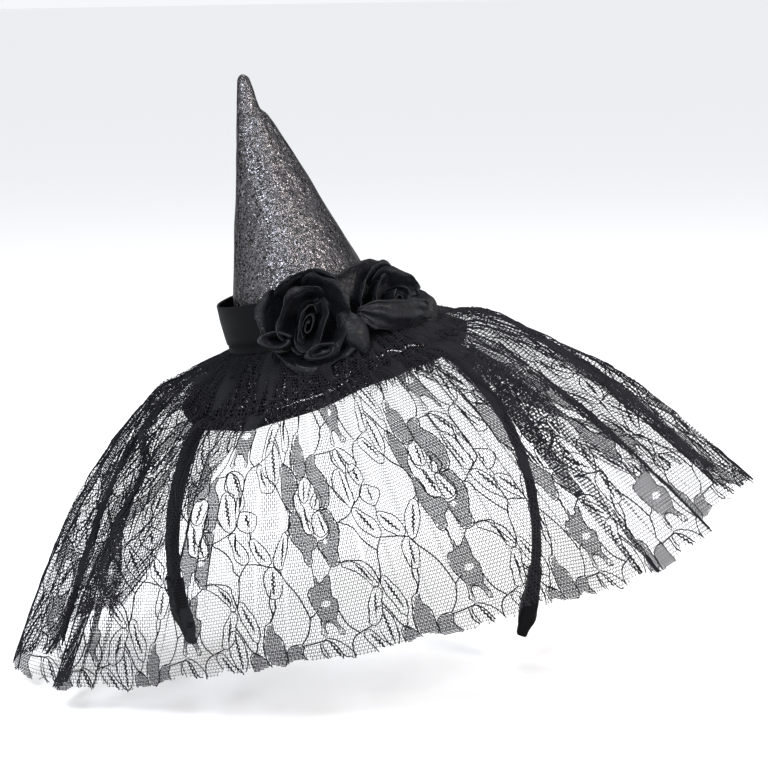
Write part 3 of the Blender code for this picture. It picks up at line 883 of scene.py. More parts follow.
def fold_place(rows, inner, bulge, seed):
    """Function of the grid for a satin fold that lies round the ribbon ring."""
    first, last = rows[0]["angle"], rows[-1]["angle"]

    def place(u, v):
        degrees = first + (last - first) * u
        low = float(read_rows(rows, degrees, "low"))
        high = float(read_rows(rows, degrees, "high"))
        round_up = max(sin(pi * u), 0.0) ** 0.5 * sin(pi * (0.10 + 0.72 * v))
        ridge = 0.0006 * sin(11.0 * v + 7.0 * u) * sin(pi * v)
        radius = inner + bulge * (round_up + 0.6 * v) + ridge + 0.0010 * ease((v - 0.86) / 0.14)
        point = polar(radians(degrees), radius, low + (high - low) * v)
        return HAT @ crumpled(point, seed, 0.30)

    return place


for fold_name, rows, inner, bulge, seed in (
    ("satin_back_fold", BACK_FOLD_ROWS, 0.0350, 0.0016, 11.0),
    ("satin_low_fold", LOW_PETAL_ROWS, 0.0440, 0.0028, 17.0),
):
    add_satin(fold_name, FOLD_GRID, fold_place(rows, inner, bulge, seed))
print("folds: 2")

# %% [markdown]
# ## How the lace hangs
#
# Lace is a flat strip with a pattern, so the pattern is made flat and then hung. First comes the
# surface that it hangs on: the veil's plan at each level, from the ring over the brim to the
# hem. The strip is longer than that plan is round, and the spare cloth lies in pleats: many
# small ones under the ring, a few deep ones at the two dark strips and round the sides. At a
# pleat the cloth runs forward, back and forward again, in three layers.

# %% The veil's levels
VEIL_WALL = 0.0010
VEIL_LEVEL = BRIM_THICKNESS + GAP + VEIL_WALL / 2.0
VEIL_TOP_RADIUS = 0.0318
VEIL_SHOULDER_RADIUS = 0.0570
VEIL_SIDE_RADIUS = 0.1360
VEIL_FRONT_RADIUS = 0.1000
VEIL_SIDE_SKEW = 0.0010
VEIL_FLARE = 0.72
VEIL_SPREAD = 0.7
SPAN_BRIM = 179.2
SPAN_HEM = 130.0
LEVELS = 90
VEIL_ROWS = table(
    "angle shoulder hem",
    (-180.0, 0.0115, 0.096), (-130.0, 0.01, 0.096), (-92.0, 0.004, 0.0925), (-56.0, 0.0165, 0.095),
    (-34.0, 0.0175, 0.0945), (-6.0, 0.0155, 0.0975), (19.0, 0.012, 0.101), (43.0, 0.0115, 0.104),
    (55.0, 0.0115, 0.102), (65.0, 0.0105, 0.094), (90.0, 0.0075, 0.098), (130.0, 0.0095, 0.098),
    (180.0, 0.0115, 0.098),
)
FOLD_ROWS = table(
    "angle width depth",
    (-120.0, 9.0, 0.005), (-102.0, 8.0, -0.005), (-85.0, 8.0, 0.006), (-70.0, 6.0, -0.007),
    (-57.0, 6.0, 0.008), (-44.0, 7.0, -0.005), (-22.0, 10.0, 0.003), (-3.0, 9.0, -0.0025),
    (16.0, 9.0, 0.003), (38.0, 7.0, -0.006), (52.0, 6.0, 0.0085), (65.0, 6.0, -0.007),
    (80.0, 7.0, 0.006), (96.0, 8.0, -0.005), (114.0, 9.0, 0.005),
)


def veil_points(degrees, station):
    """Points of the smooth veil: station 0 to 1 on the brim, to 2 over its edge, to 3 down."""
    degrees = np.asarray(degrees, float)
    angle = np.radians(degrees)
    shoulder = read_rows(VEIL_ROWS, degrees, "shoulder")
    if station < 1.0:
        radius = VEIL_TOP_RADIUS + (BRIM_RADIUS - VEIL_TOP_RADIUS) * station
        side, front = radius, radius
        height = VEIL_LEVEL - shoulder * bell(radius)
    elif station < 2.0:
        radius = BRIM_RADIUS + (VEIL_SHOULDER_RADIUS - BRIM_RADIUS) * (station - 1.0)
        side, front = radius, radius
        height = VEIL_LEVEL - shoulder
    else:
        share = station - 2.0
        spread = share ** VEIL_FLARE
        skew = VEIL_SIDE_SKEW * np.sin(angle)
        side = VEIL_SHOULDER_RADIUS + (VEIL_SIDE_RADIUS + skew - VEIL_SHOULDER_RADIUS) * spread
        front = VEIL_SHOULDER_RADIUS + (VEIL_FRONT_RADIUS - VEIL_SHOULDER_RADIUS) * spread
        height = VEIL_LEVEL - shoulder - (read_rows(VEIL_ROWS, degrees, "hem") - shoulder) * share
        push = np.zeros_like(angle)
        for fold in FOLD_ROWS:
            push += fold["depth"] * np.exp(-((degrees - fold["angle"]) / fold["width"]) ** 2)
        push *= ease(share / 0.45) * (0.75 + 0.25 * share)
        slope = 0.45 if share > 0.2 else 0.9
        side, front, height = side + push, front + push, height + push * slope
    return np.stack([side * np.sin(angle), -front * np.cos(angle), height], axis=-1)


def even_stations():
    """Stations that lie evenly along the fall of the cloth, and the length of that fall."""
    stations = np.concatenate([np.linspace(0.0, 1.999, 40), np.linspace(2.0, 3.0, 161)])
    probe = np.array([-80.0, -40.0, -20.0, 0.0, 20.0, 40.0, 80.0])
    points = np.array([veil_points(probe, station) for station in stations])
    steps = np.linalg.norm(np.diff(points, axis=0), axis=-1).mean(axis=1)
    walked = np.concatenate([[0.0], np.cumsum(steps)])
    even = np.interp(np.linspace(0.0, walked[-1], LEVELS + 1), walked, stations)
    return even, walked[-1]


STATIONS, STRIP_DEPTH = even_stations()
print("strip depth mm:", round(STRIP_DEPTH * 1000, 1))

# %% Pleats
STRIP_HALF = 0.3165
STRIP_STEP = 0.0005
BACK_FROM = 100.0
GATHER_STEP = 4.6
ARC_SAMPLES = 700
TIGHT_TOP_TO = 60.0
FRONT_TO = 42.0
TIGHTEST = 0.29
GATHER_LIFT = 0.0012
TIGHTER_TOP = 0.09
PLEAT_ROWS = table(
    "side top hem take open main",
    (-1, 84.0, 51.5, 0.0052, 6.2, 1.0), (-1, 87.0, 53.6, 0.0045, 6.2, 1.0),
    (-1, 110.0, 102.0, 0.0035, 6.0, 0.0), (1, 47.0, 42.0, 0.0075, 6.0, 1.0),
    (1, 49.5, 44.0, 0.0085, 6.0, 1.0), (1, 52.0, 46.5, 0.004, 6.6, 1.0),
    (1, 76.0, 70.0, 0.001, 8.0, 0.0), (1, 98.0, 94.0, 0.002, 7.0, 0.0),
)
luck = np.random.default_rng(12)


def signed_arc(side, station, degrees):
    """Length walked from the front along one side of a level."""
    points = veil_points(side * degrees, station)
    return np.concatenate([[0.0], np.cumsum(np.linalg.norm(np.diff(points, axis=0), axis=-1))])


def side_gathers(side):
    """Angles of the small gathers of one side, the cells between them and the cloth in each."""
    middles = np.arange(2.3, 178.0, GATHER_STEP)
    middles = middles + luck.uniform(-1.1, 1.1, len(middles))
    walls = np.concatenate([[0.0], (middles[1:] + middles[:-1]) / 2.0, [180.0]])
    degrees = np.linspace(0.0, SPAN_HEM, ARC_SAMPLES)
    cloth = np.interp(at_span(walls, SPAN_HEM), degrees, signed_arc(side, 3.0, degrees))
    deep = [row for row in PLEAT_ROWS if row["side"] == side]
    spare = STRIP_HALF - cloth[-1] - sum(row["take"] for row in deep)
    last = {"top": 120.0, "hem": 116.0, "take": spare, "open": 6.0, "main": 0.0}
    return middles, walls, cloth, deep + [last]


def at_span(degrees, span):
    """Angles squeezed behind the sides, so that the last one lies at the strip's end."""
    behind = BACK_FROM + (degrees - BACK_FROM) * (span - BACK_FROM) / (180.0 - BACK_FROM)
    return np.where(degrees > BACK_FROM, behind, degrees)


GATHERS = {side: side_gathers(side) for side in (-1, 1)}
print("spare cloth mm:", [round(GATHERS[side][3][-1]["take"] * 1000, 1) for side in (-1, 1)])


def level_curve(level, side):
    """Angle in degrees and lift for every step of cloth on one side at one level."""
    station = STATIONS[level]
    fall = level / LEVELS
    share = max(station - 2.0, 0.0)
    span = SPAN_BRIM + (SPAN_HEM - SPAN_BRIM) * share ** VEIL_SPREAD
    degrees = np.linspace(0.0, span, ARC_SAMPLES)
    arc = signed_arc(side, station, degrees)
    middles, walls, cloth, deep = GATHERS[side]
    shown = np.diff(np.interp(at_span(walls, span), degrees, arc))
    kept = np.where(middles < TIGHT_TOP_TO, 1.0 - TIGHTER_TOP * (1.0 - share), 1.0)
    small = np.maximum(np.diff(cloth) * kept - shown, 0.0)
    loose_front = ease((fall - 0.15) / 0.22)
    loose_side = ease((fall - 0.12) / 0.24)
    tight_small = small * (TIGHTEST + np.where(middles < FRONT_TO, 0.56 * loose_front, 0.66 * loose_side))
    lift_small = np.minimum(tight_small * (0.54 + 0.36 * loose_front), GATHER_LIFT)
    where_deep = np.array([row["hem"] + (row["top"] - row["hem"]) * (1.0 - share) ** 4 for row in deep])
    missing = float((np.diff(cloth) * (1.0 - kept)).sum())
    take_deep = np.array([row["take"] for row in deep])
    main = np.array([row["main"] for row in deep])
    take_deep = take_deep + missing * main / main.sum()
    room = np.array([9.0 - row["open"] * ease(share) for row in deep])
    lift_deep = np.minimum(0.12 * take_deep, 0.0005 + 0.0009 * ease((fall - 0.15) / 0.15))
    where = np.concatenate([at_span(middles, span), at_span(where_deep, span)])
    takes = np.concatenate([small, take_deep])
    tight = np.maximum(np.concatenate([tight_small, take_deep / room]), 0.0002)
    lifts = np.concatenate([lift_small, lift_deep])
    order = np.argsort(where)
    where, takes, tight, lifts = where[order], takes[order], tight[order], lifts[order]
    middle = np.interp(where, degrees, arc) + np.cumsum(takes) - takes / 2.0
    steps = np.arange(0.0, STRIP_HALF + STRIP_STEP / 2.0, STRIP_STEP)
    along = steps * (arc[-1] + takes.sum()) / STRIP_HALF
    cloth_place = along.copy()
    lift = np.zeros_like(steps)
    for centre, take, narrow, high in zip(middle, takes, tight, lifts):
        offset = (cloth_place - centre) / narrow
        along -= take * (0.5 + 0.5 * np.tanh(offset))
        lift -= high * offset * np.exp(-offset * offset / 3.0)
    return np.interp(along, arc, degrees), lift


def hung_surface():
    """Grid of points over the whole strip: one row a level, one column a step of cloth."""
    rows = []
    for level, station in enumerate(STATIONS):
        halves = []
        for side in (-1, 1):
            degrees, lift = level_curve(level, side)
            ahead = min(station + 0.01, 3.0)
            fall = veil_points(side * degrees, ahead) - veil_points(side * degrees, ahead - 0.02)
            beside = (veil_points(side * degrees + 0.5, station)
                      - veil_points(side * degrees - 0.5, station))
            outwards = np.cross(fall, beside)
            outwards /= np.maximum(np.linalg.norm(outwards, axis=-1, keepdims=True), 1e-9)
            halves.append(veil_points(side * degrees, station) + outwards * lift[:, None])
        rows.append(np.concatenate([halves[0][::-1], halves[1][1:]]))
    return np.array(rows)


SURFACE = hung_surface()
print("hung surface:", SURFACE.shape)

# %% Hanging a flat piece
def surface_normals(surface):
    """Unit normals of the cloth, from its two directions."""
    across = np.gradient(surface, axis=1)
    down = np.gradient(surface, axis=0)
    normal = np.cross(down, across)
    return normal / np.maximum(np.linalg.norm(normal, axis=-1, keepdims=True), 1e-12)


NORMALS = surface_normals(SURFACE)
HAT_ROWS = np.array(HAT)


def hang(mesh):
    """Move a flat mesh onto the hung surface: x along the strip, y up from the hem, z off it."""
    flat = np.zeros(len(mesh.vertices) * 3)
    mesh.vertices.foreach_get("co", flat)
    flat = flat.reshape(-1, 3)
    column = np.clip((flat[:, 0] + STRIP_HALF) / STRIP_STEP, 0.0, SURFACE.shape[1] - 1.001)
    row = np.clip((1.0 - flat[:, 1] / STRIP_DEPTH) * LEVELS, 0.0, LEVELS - 0.001)
    left, top = column.astype(int), row.astype(int)
    right_share, low_share = (column - left)[:, None], (row - top)[:, None]

    def blend(table):
        upper = table[top, left] * (1.0 - right_share) + table[top, left + 1] * right_share
        lower = table[top + 1, left] * (1.0 - right_share) + table[top + 1, left + 1] * right_share
        return upper * (1.0 - low_share) + lower * low_share

    hung = blend(SURFACE) + blend(NORMALS) * flat[:, 2:3]
    hung = hung @ HAT_ROWS[:3, :3].T + HAT_ROWS[:3, 3]
    mesh.vertices.foreach_set("co", hung.ravel())
    mesh.update()
    return mesh


HEM_STEP = 0.0031
hem_count = int(2 * STRIP_HALF / HEM_STEP) + 2
HEM_CUTS = luck.uniform(0.0, 0.0036, hem_count) * (luck.uniform(0.0, 1.0, hem_count) ** 0.5)
HEM_PLACES = np.linspace(-STRIP_HALF, STRIP_HALF, hem_count)


def hem_height(along):
    """Height of the raw cut above the strip's lower edge."""
    wave = 0.0007 + 0.0006 * np.sin(np.asarray(along) * 140.0)
    return wave + np.interp(along, HEM_PLACES, HEM_CUTS)


print("hem teeth:", hem_count)

# %% [markdown]
# ## Net
#
# The ground of the lace is a net of six-sided holes. A square grid becomes such a net when every
# second upright is taken out and the rest of each row is pushed into a zigzag. Its wires are
# then extruded a fifth of a millimetre, the uprights along the strip and the zigzags up it, so
# each strand is a flat ribbon of two triangles.

# %% Net
NET_PITCH = 0.00128
NET_ROW = 0.00122
NET_ZIG = 0.00024
HEM_ZONE = 0.006
UPRIGHT_STRAND = Vector((0.00024, 0.0, 0.00008))
ZIGZAG_STRAND = Vector((0.0, 0.00016, 0.00006))
SEAM = 0.1300
GORES = table(
    "name from to",
    ("left", -STRIP_HALF, -SEAM), ("front", -SEAM, SEAM), ("right", SEAM, STRIP_HALF),
)


def is_upright(edge):
    """Whether an edge runs up the strip."""
    return abs(edge.verts[0].co.x - edge.verts[1].co.x) < 1e-7


def net_mesh(low, high):
    """Flat net between two places along the strip."""
    columns = round((high - low) / (NET_PITCH / 2.0))
    rows = round(STRIP_DEPTH / NET_ROW)

    def cell(spot):
        return round((spot.x + 0.5) * columns), round((spot.y + 0.5) * rows)

    net = bmesh.new()
    bmesh.ops.create_grid(net, x_segments=columns, y_segments=rows, size=0.5)
    bmesh.ops.delete(net, geom=net.faces[:], context="FACES_ONLY")
    spare = []
    for edge in net.edges:
        lower = min((vertex.co for vertex in edge.verts), key=lambda spot: spot.y)
        if is_upright(edge) and sum(cell(lower)) % 2:
            spare.append(edge)
    bmesh.ops.delete(net, geom=spare, context="EDGES")
    beyond = []
    for vertex in net.verts:
        column, row = cell(vertex.co)
        zig = NET_ZIG if (column + row) % 2 else -NET_ZIG
        along = low + (high - low) * column / columns
        height = STRIP_DEPTH * row / rows + zig
        vertex.co = (along, height, 0.0)
        if height < HEM_ZONE and height < hem_height(along):
            beyond.append(vertex)
    bmesh.ops.delete(net, geom=beyond, context="VERTS")
    bmesh.ops.delete(net, geom=[v for v in net.verts if not v.link_edges], context="VERTS")
    uprights = [edge for edge in net.edges if is_upright(edge)]
    zigzags = [edge for edge in net.edges if not is_upright(edge)]
    for edges, strand in ((uprights, UPRIGHT_STRAND), (zigzags, ZIGZAG_STRAND)):
        ribbon = bmesh.ops.extrude_edge_only(net, edges=edges)
        moved = [item for item in ribbon["geom"] if isinstance(item, bmesh.types.BMVert)]
        bmesh.ops.translate(net, vec=strand, verts=moved)
    return as_mesh(net)


def flat_area(mesh):
    """Area of a flat mesh's faces, in square metres."""
    areas = np.zeros(len(mesh.polygons))
    mesh.polygons.foreach_get("area", areas)
    return float(areas.sum())


def add_lace(kind, gore, mesh, nodes=()):
    """Hang a flat mesh on the surface as a piece of lace."""
    piece = add_piece(f"{kind}_{gore['name']}", hang(mesh), "lace_thread", nodes)
    print(piece.name, "faces:", len(mesh.polygons))
    return piece


for gore in GORES:
    mesh = net_mesh(gore["from"], gore["to"])
    strands = flat_area(mesh)
    add_lace("net", gore, mesh, ["veil"] if gore["name"] == "front" else [])

# %% [markdown]
# ## Lace figures
#
# The pattern is a floral one of the usual kind: a spray of filled leaves, a small filled figure
# below it, open leaves with a jagged vein, and cords that tie them together. One repeat is
# charted in millimetres, x from the middle of the spray and y up from the hem, and laid out on
# a slanting lattice of repeats.

# %% Chart of one repeat
REPEAT_ALONG = 0.0524
REPEAT_STEP = (-0.0172, -0.0680)
REPEAT_START = -0.0203
CHART_WIDE = 1.13
CHART_STRETCH = 1.6
STRETCH_FROM = 0.030
PAST_ENDS = (0.0400, 0.0200)


def charted(text):
    """Points of a chart line: x and y in millimetres, joined by a comma."""
    return [tuple(float(part) for part in pair.split(",")) for pair in text.split()]


FILLED = [charted(line) for line in (
    "-3.2,86.2 -2.2,81.8 -0.8,80.4 0.1,75 -0.1,70.2 -2.4,68.5 -4.5,69.6 -6.1,75.3 -5.6,80.6",
    "-9.9,75.7 -7.2,74.1 -4.9,70.2 -4.4,66.2 -5.7,63.7 -6,59.6 -7.1,57.3 -8.7,60.1 -9.9,64.3 -10.3,69.8",
    "0.8,74.9 3.4,76.6 5.8,75.9 5.2,72.9 7.1,69.3 8.4,64.9 8,60.3 6.5,56.4 3.9,56.9 4.3,59.5 3,62.4 "
    "2,66.3 0.6,68.9 0.6,72.2",
    "-7.1,57.3 -5.3,57.2 -4.2,54 -3.5,49.7 0,47.2 0.2,43.8 -1.5,42 -2.5,37.1 -4.2,37.4 -5.4,42.6 "
    "-7.4,46.4 -8.4,50.6 -7.8,54.5",
    "3.9,56.7 6.5,56.2 7.9,52.8 8.8,49.3 8.4,45.3 7,40.1 6.9,36 4.2,35.1 2.8,37.4 1.2,41.6 0.6,45.1 "
    "2.9,45.8 5.6,46.9 5.8,49.8 4.7,53.4",
    "-2.2,32.9 -1.2,29.8 2.2,32.8 2.6,30 2,24.7 3.7,22.7 3.4,19.1 2.2,15.1 3.7,9.5 0.3,15 -1.5,15.1 "
    "-2.2,10.1 -2.6,16.6 -4.8,22.2 -5,28.5 -2.6,29.1",
)]
HOLES = table(
    "middle radius",
    ((-0.2, 22.0), 1.2), ((3.7, 44.8), 0.9),
)
OPEN_LEAVES = [[charted(part) for part in line.split("|")] for line in (
    "-2.9,68.8 -0.8,69.3 1.3,66.7 0.2,62.8 -0.8,60.2 -3.1,60.5 -4.2,64.2 | -1.1,68 -2,60.7",
    "2.2,62.8 3.7,64.2 4.9,62.1 5.2,57.9 3.4,56.8 1.2,57.3 0.3,59.7 | 3.7,63.1 1.6,57.9",
    "-5.1,63.9 -5.8,59.7 -4.7,54.8 -3.4,49.8 -0.8,48 0.1,50.6 -1.5,54.3 -2.1,57.8 -3.9,60.5 | "
    "-2.8,58.7 -1,49.4",
    "1.3,56 3.7,56.2 5.6,52.6 5.8,48.4 3.4,46.8 0.6,47.8 -0.1,52.1 | 2.1,55.7 4.6,47.3",
    "12.5,69.9 16.1,62.1 15.4,54.5 12.6,56.6 9.7,62.8 | 12.6,68.7 14.7,56.6",
    "18.1,69.3 20.7,67.1 20.3,61.1 18.7,62.8 | 19,67.5 19.7,62.7",
    "20.3,60.8 24,60 26.5,57.6 25.6,54.9 23.1,53 20.4,54.4 18.9,57.9 | 22.1,59.6 22.9,55.2",
    "15.1,54.2 18.7,51.3 22.5,44.5 21.7,41.4 18.9,43.2 15.6,49.1 | 16.5,53.1 20.3,44.2",
    "23.4,50.6 25.7,49.9 30.2,43.4 29.8,39.4 26.6,41.4 23.1,47.3 | 24.3,49.4 28.8,41.3",
    "30.2,38.8 32.8,36.9 33,31 30.3,26.5 27.9,32.4 28.3,37.1 | 30.6,37.3 30.2,28.5",
    "7.4,36 11.9,34.2 16.9,26.6 17.2,24.4 13.8,27.6 10.9,31.5 | 11.2,34 16,26.3",
    "18.9,27.6 21.6,23.7 24.2,18.6 24.4,13.3 23.4,11.3 20.2,17.3 18.5,22.3 | 19.4,25.9 22.9,14.5",
    "17.2,24 17,18.3 15.3,11.8 12.1,10.6 12.1,15.4 13,20.4 | 15.8,22.1 13.9,13",
    "9.8,9.4 14.4,4.3 17.6,0.1 15.7,-2.3 11.2,3.1 | 11.1,7.8 15.1,0.5",
    "-2,9.2 1.1,7.8 4.3,4 5.2,0.3 0.3,-1 -2.9,4.3 -3.5,7.8 | -1.5,8.1 1.7,0.7",
    "-9.6,50.5 -9.2,45.8 -11.2,40.1 -13.9,37.3 -15.2,39.4 -14.4,44.7 -11.9,49.1 | -10.3,49 -13.1,38.8",
    "-15.6,84.9 -13.4,83 -11.7,75.4 -12.1,70.7 -13.5,68.8 -16.1,73.4 -17,78.2 | -14.7,83.3 -13.4,70.1",
)]
CORDS = [charted(line) for line in (
    "-3.2,86.2 -2.1,88.9 -2.6,93 -1.6,98.3", "-14.4,86.6 -12.2,81.6 -9.6,75.8 -7.1,74.1",
    "-13.5,68.8 -11.7,64.9 -9.4,61.6 -7.1,57.4", "5.8,75.9 8.7,76.1 10.8,76.5",
    "10.8,76.5 11.2,72 12.5,69.9", "10.8,76.5 13,76.6 15.1,74.8 17.1,70.6 18.1,69.3",
    "17.1,70.6 16.1,65.9 16.1,62.1", "20.3,61.1 18.9,57.9 15.1,54.2", "15.1,54.2 12.1,52.3 9,50.7",
    "8.4,64.9 10.3,61.4 12.6,56.6", "8.7,51 13.3,47.4 17,40.8 19.6,37",
    "21.7,41.4 19.6,37 19,30.3 18,24.8", "21.7,41.4 26,40.6 30.2,38.8", "23.1,53 23.4,50.6",
    "-2.5,37.1 -2.4,32.8", "4.2,35.1 2.2,32.8", "0.3,43.2 3.4,37.7",
    "6.9,36 11.9,35.6 15.7,33.1 17.6,27.8 18,24.8", "12.1,10.6 9.3,9.4 7.1,8.4 5.4,5.8 5.2,0.3",
    "30.3,26.5 30.1,23.3 28.4,18.5", "-15.4,38.8 -11.2,32.1 -8.3,26.2 -6,17.6", "-6,17.6 -2.9,20.2",
    "-6,17.6 -7.4,11.9 -9.6,8.6", "3.4,19.1 5.4,12.7 8,9.2", "23.4,11.3 23,8.7 21.6,6.5",
    "-9.6,50.5 -8,51.9 -7.8,54.5",
)]


def repeats(low, high):
    """Shifts of the repeats whose middle lies between two places, or just past the strip's ends."""
    low -= PAST_ENDS[0] if low <= -STRIP_HALF else 0.0
    high += PAST_ENDS[1] if high >= STRIP_HALF else 0.0
    shifts = []
    for step in range(-1, 3):
        for count in range(-12, 13):
            along = REPEAT_START + count * REPEAT_ALONG + step * REPEAT_STEP[0]
            if low <= along < high:
                shifts.append((along, step * REPEAT_STEP[1]))
    return shifts


print("repeats in front:", len(repeats(-SEAM, SEAM)))

# %% Cords and outlines
CORD_RADIUS = 0.00025
OUTLINE_RADIUS = 0.00020
VEIN_RADIUS = 0.00036
CORD_LIFT = 0.00015
VEIN_JAG = 0.32
VEIN_STEP = 0.75


def chart_place(x, y, shift):
    """Place on the flat strip of a charted point; the cloth's own weight draws its top out."""
    up = y / 1000.0 + shift[1]
    return x * CHART_WIDE / 1000.0 + shift[0], up + CHART_STRETCH * max(up - STRETCH_FROM, 0.0) ** 2


def thin_curve(radius):
    """Curve whose lines are square tubes."""
    curve = bpy.data.curves.new("lines", "CURVE")
    curve.dimensions = "3D"
    curve.bevel_depth = radius
    curve.bevel_resolution = 0
    return curve


def mesh_of(curve):
    """Mesh of a curve, which is then removed."""
    holder = new_object("lines", curve)
    bpy.context.view_layer.update()
    mesh = bpy.data.meshes.new_from_object(holder.evaluated_get(bpy.context.evaluated_depsgraph_get()))
    bpy.data.objects.remove(holder)
    bpy.data.curves.remove(curve)
    return mesh


def add_spline(curve, points, closed=False, thick=1.0):
    """One smooth line through points."""
    spline = curve.splines.new("BEZIER")
    spline.bezier_points.add(len(points) - 1)
    spline.use_cyclic_u = closed
    spline.resolution_u = 3
    for knot, point in zip(spline.bezier_points, points):
        knot.co = point
        knot.handle_left_type = "AUTO"
        knot.handle_right_type = "AUTO"
        knot.radius = thick


def add_vein(curve, ends, shift):
    """Thick jagged line down the middle of an open leaf."""
    (x0, y0), (x1, y1) = ends
    length = math.hypot(x1 - x0, y1 - y0)
    steps = max(int(length / VEIN_STEP), 4)
    spline = curve.splines.new("POLY")
    spline.points.add(steps)
    for step, knot in enumerate(spline.points):
        share = step / steps
        jag = VEIN_JAG * (1 if step % 2 else -1) * sin(pi * share)
        x = x0 + (x1 - x0) * share - jag * (y1 - y0) / length
        y = y0 + (y1 - y0) * share + jag * (x1 - x0) / length
        knot.co = (*chart_place(x, y, shift), CORD_LIFT, 1.0)
        knot.radius = VEIN_RADIUS / CORD_RADIUS * (0.45 + 0.75 * sin(pi * share))


def trimmed(mesh):
    """Cut a flat mesh off at the hem, the top edge and the strip's two ends."""
    cut = bmesh.new()
    cut.from_mesh(mesh)
    outside = []
    for face in cut.faces:
        middle = face.calc_center_median()
        if not hem_height(middle.x) <= middle.y <= STRIP_DEPTH or abs(middle.x) > STRIP_HALF:
            outside.append(face)
    bmesh.ops.delete(cut, geom=outside, context="FACES")
    cut.to_mesh(mesh)
    cut.free()
    return mesh


def cord_mesh(low, high):
    """Flat mesh of all cords, outlines and veins of the repeats in one gore."""
    curve = thin_curve(CORD_RADIUS)
    outline = OUTLINE_RADIUS / CORD_RADIUS
    for shift in repeats(low, high):
        def draw(points, closed, thick):
            add_spline(curve, [(*chart_place(x, y, shift), CORD_LIFT) for x, y in points], closed, thick)

        for points in FILLED:
            draw(points, True, outline)
        for points, vein in OPEN_LEAVES:
            draw(points, True, outline)
            add_vein(curve, vein, shift)
        for points in CORDS:
            draw(points, False, 1.0)
    return trimmed(mesh_of(curve))


for gore in GORES:
    add_lace("lace_cords", gore, cord_mesh(gore["from"], gore["to"]))

# %% Clothwork of the filled leaves
FILL_CELL = 0.0007
FILL_PITCH = 0.00050
FILL_SHARE = 0.70
FILL_LIFT = 0.00005


def inside_outline(x, y, points):
    """Whether a charted point lies inside a closed outline."""
    inside = False
    last_x, last_y = points[-1]
    for next_x, next_y in points:
        if (next_y > y) != (last_y > y):
            if x < (last_x - next_x) * (y - next_y) / (last_y - next_y) + next_x:
                inside = not inside
        last_x, last_y = next_x, next_y
    return inside


def clothwork_unit():
    """Fine level threads inside the filled outlines of one repeat, as strips of a grid."""
    unit = bmesh.new()
    for points in FILLED:
        xs, ys = zip(*points)
        wide, tall = max(xs) - min(xs), max(ys) - min(ys)
        columns = math.ceil(wide / (FILL_CELL * 1000.0))
        rows = math.ceil(tall / (FILL_PITCH * 1000.0))
        made = bmesh.ops.create_grid(unit, x_segments=columns, y_segments=2 * rows, size=0.5)["verts"]
        unwanted = []
        for face in {face for vertex in made for face in vertex.link_faces}:
            middle = face.calc_center_median()
            x, y = min(xs) + (middle.x + 0.5) * wide, min(ys) + (middle.y + 0.5) * tall
            in_hole = any(math.dist((x, y), hole["middle"]) < hole["radius"] for hole in HOLES)
            if int((middle.y + 0.5) * 2 * rows) % 2 or in_hole or not inside_outline(x, y, points):
                unwanted.append(face)
        for vertex in made:
            level = round((vertex.co.y + 0.5) * 2 * rows)
            thick = (level // 2 + (FILL_SHARE if level % 2 else 0.0)) / rows
            vertex.co = (min(xs) + (vertex.co.x + 0.5) * wide, min(ys) + thick * tall, FILL_LIFT)
        bmesh.ops.delete(unit, geom=unwanted, context="FACES")
    return unit


def clothwork_mesh(low, high):
    """The unit's threads, copied to every repeat of one gore."""
    flat = bmesh.new()
    single = as_mesh(clothwork_unit())
    for shift in repeats(low, high):
        before = len(flat.verts)
        flat.from_mesh(single)
        flat.verts.ensure_lookup_table()
        for vertex in flat.verts[before:]:
            vertex.co = (*chart_place(vertex.co.x, vertex.co.y, shift), vertex.co.z)
    bpy.data.meshes.remove(single)
    return trimmed(as_mesh(flat))


for gore in GORES:
    add_lace("lace_clothwork", gore, clothwork_mesh(gore["from"], gore["to"]))
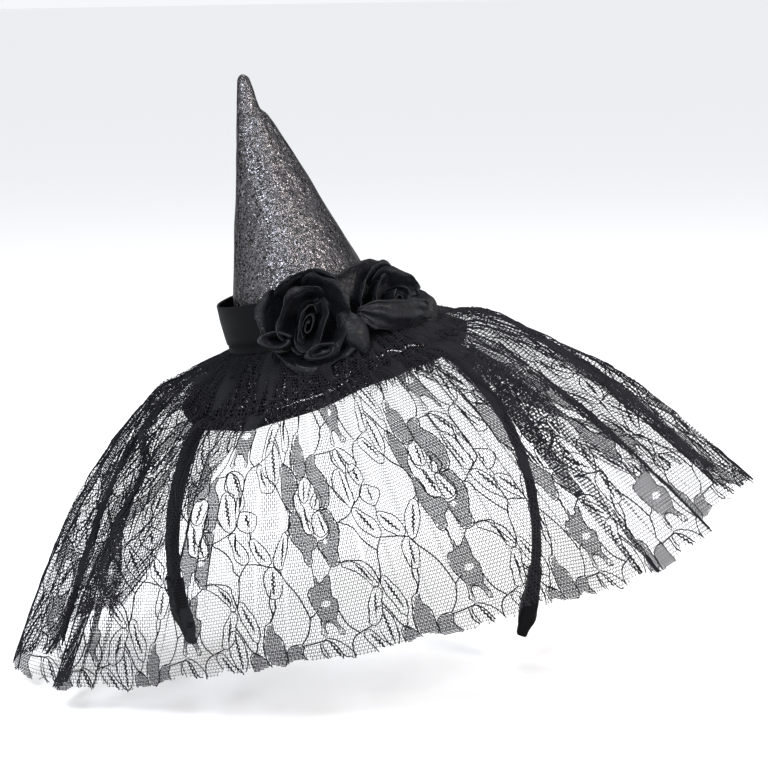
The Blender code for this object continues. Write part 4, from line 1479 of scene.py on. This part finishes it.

# %% [markdown]
# ## Raw edge and fringe
#
# The brim's own cut edge peeks out between the gathers as a narrow glittering line, and short
# frayed threads hang under it. The line is a thin tube bent along the hung lace, in a brighter
# copy of the brim's lamé whose extra glitter is a painted highlight on the edge's fold; the threads
# are many small curves in one object, made a mesh, because a shape that repeats should stay light.
# Their dark mass is also painted shade for the underside of the brim's curled edge.

# %% Glitter edge
EDGE_ROWS = table(
    "name from to first last radius",
    ("brim_edge_front", -20.0, 11.0, 1.8, 0.87, 0.00034),
    ("brim_edge_side", 21.0, 46.0, 0.8, 0.92, 0.0003),
)
EDGE_OFF = 0.0007
EDGE_GRID = (10, 90)


def edge_place(row):
    """Function of the grid for a thin uneven tube that lies on the lace along the brim."""
    def place(u, v):
        degrees = row["from"] + (row["to"] - row["from"]) * v
        station = row["first"] + (row["last"] - row["first"]) * v + 0.03 * sin(17.0 * v)
        angle = radians(degrees)
        outwards = polar(angle, 1.0, 0.55).normalized()
        upwards = outwards.cross(Vector((cos(angle), sin(angle), 0.0)))
        size = row["radius"] * sqrt(max(sin(pi * v), 0.0)) * (1.0 + 0.35 * sin(23.0 * v))
        turn = tau * u
        middle = Vector(veil_points(degrees, station)) + outwards * EDGE_OFF
        return HAT @ (middle + size * (outwards * cos(turn) + 1.5 * upwards * sin(turn)))

    return place


# The tube wears the brighter lamé: a painted highlight along the fold of the brim's edge.
for row in EDGE_ROWS:
    edge_mesh = bent_grid(*EDGE_GRID, edge_place(row), closed=True)
    add_piece(row["name"], edge_mesh, "edge_lame")
print("glitter edges:", len(EDGE_ROWS))

# %% Fringe
# Many long threads make the strip under the brim's edge dark: real threads, and painted shade of the curled
# edge's underside.
FRINGE_ROWS = table(
    "from to count length",
    (16.0, 44.0, 190, 0.0065), (-8.0, 14.0, 60, 0.0045), (-70.0, -30.0, 60, 0.0035),
)
FRINGE_RADIUS = 0.00010


def fringe_mesh():
    """Short threads from the brim's edge, each with a little curl; their dark mass is also painted shade for
    the underside of the brim's curled edge.
    """
    curve = thin_curve(FRINGE_RADIUS)
    for row in FRINGE_ROWS:
        for degrees in luck.uniform(row["from"], row["to"], row["count"]):
            root = Vector(veil_points(degrees, luck.uniform(1.2, 1.9)))
            angle = radians(degrees)
            outwards = polar(angle, 1.0, 0.0)
            along = Vector((cos(angle), sin(angle), 0.0))
            length = row["length"] * luck.uniform(0.5, 1.3)
            lean = luck.uniform(-0.35, 0.35)
            knots = []
            for fall in (0.0, 0.5, 1.0):
                bend = lean * fall + luck.uniform(-0.1, 0.1) * fall
                place = root + outwards * (0.0005 + 0.0004 * fall) + along * (length * bend)
                place.z -= length * fall
                knots.append(HAT @ place)
            add_spline(curve, knots)
    return mesh_of(curve)


fringe = add_piece("lace_fringe_and_painted_shade", fringe_mesh(), "lace_thread")
print("fringe faces:", len(fringe.data.polygons))
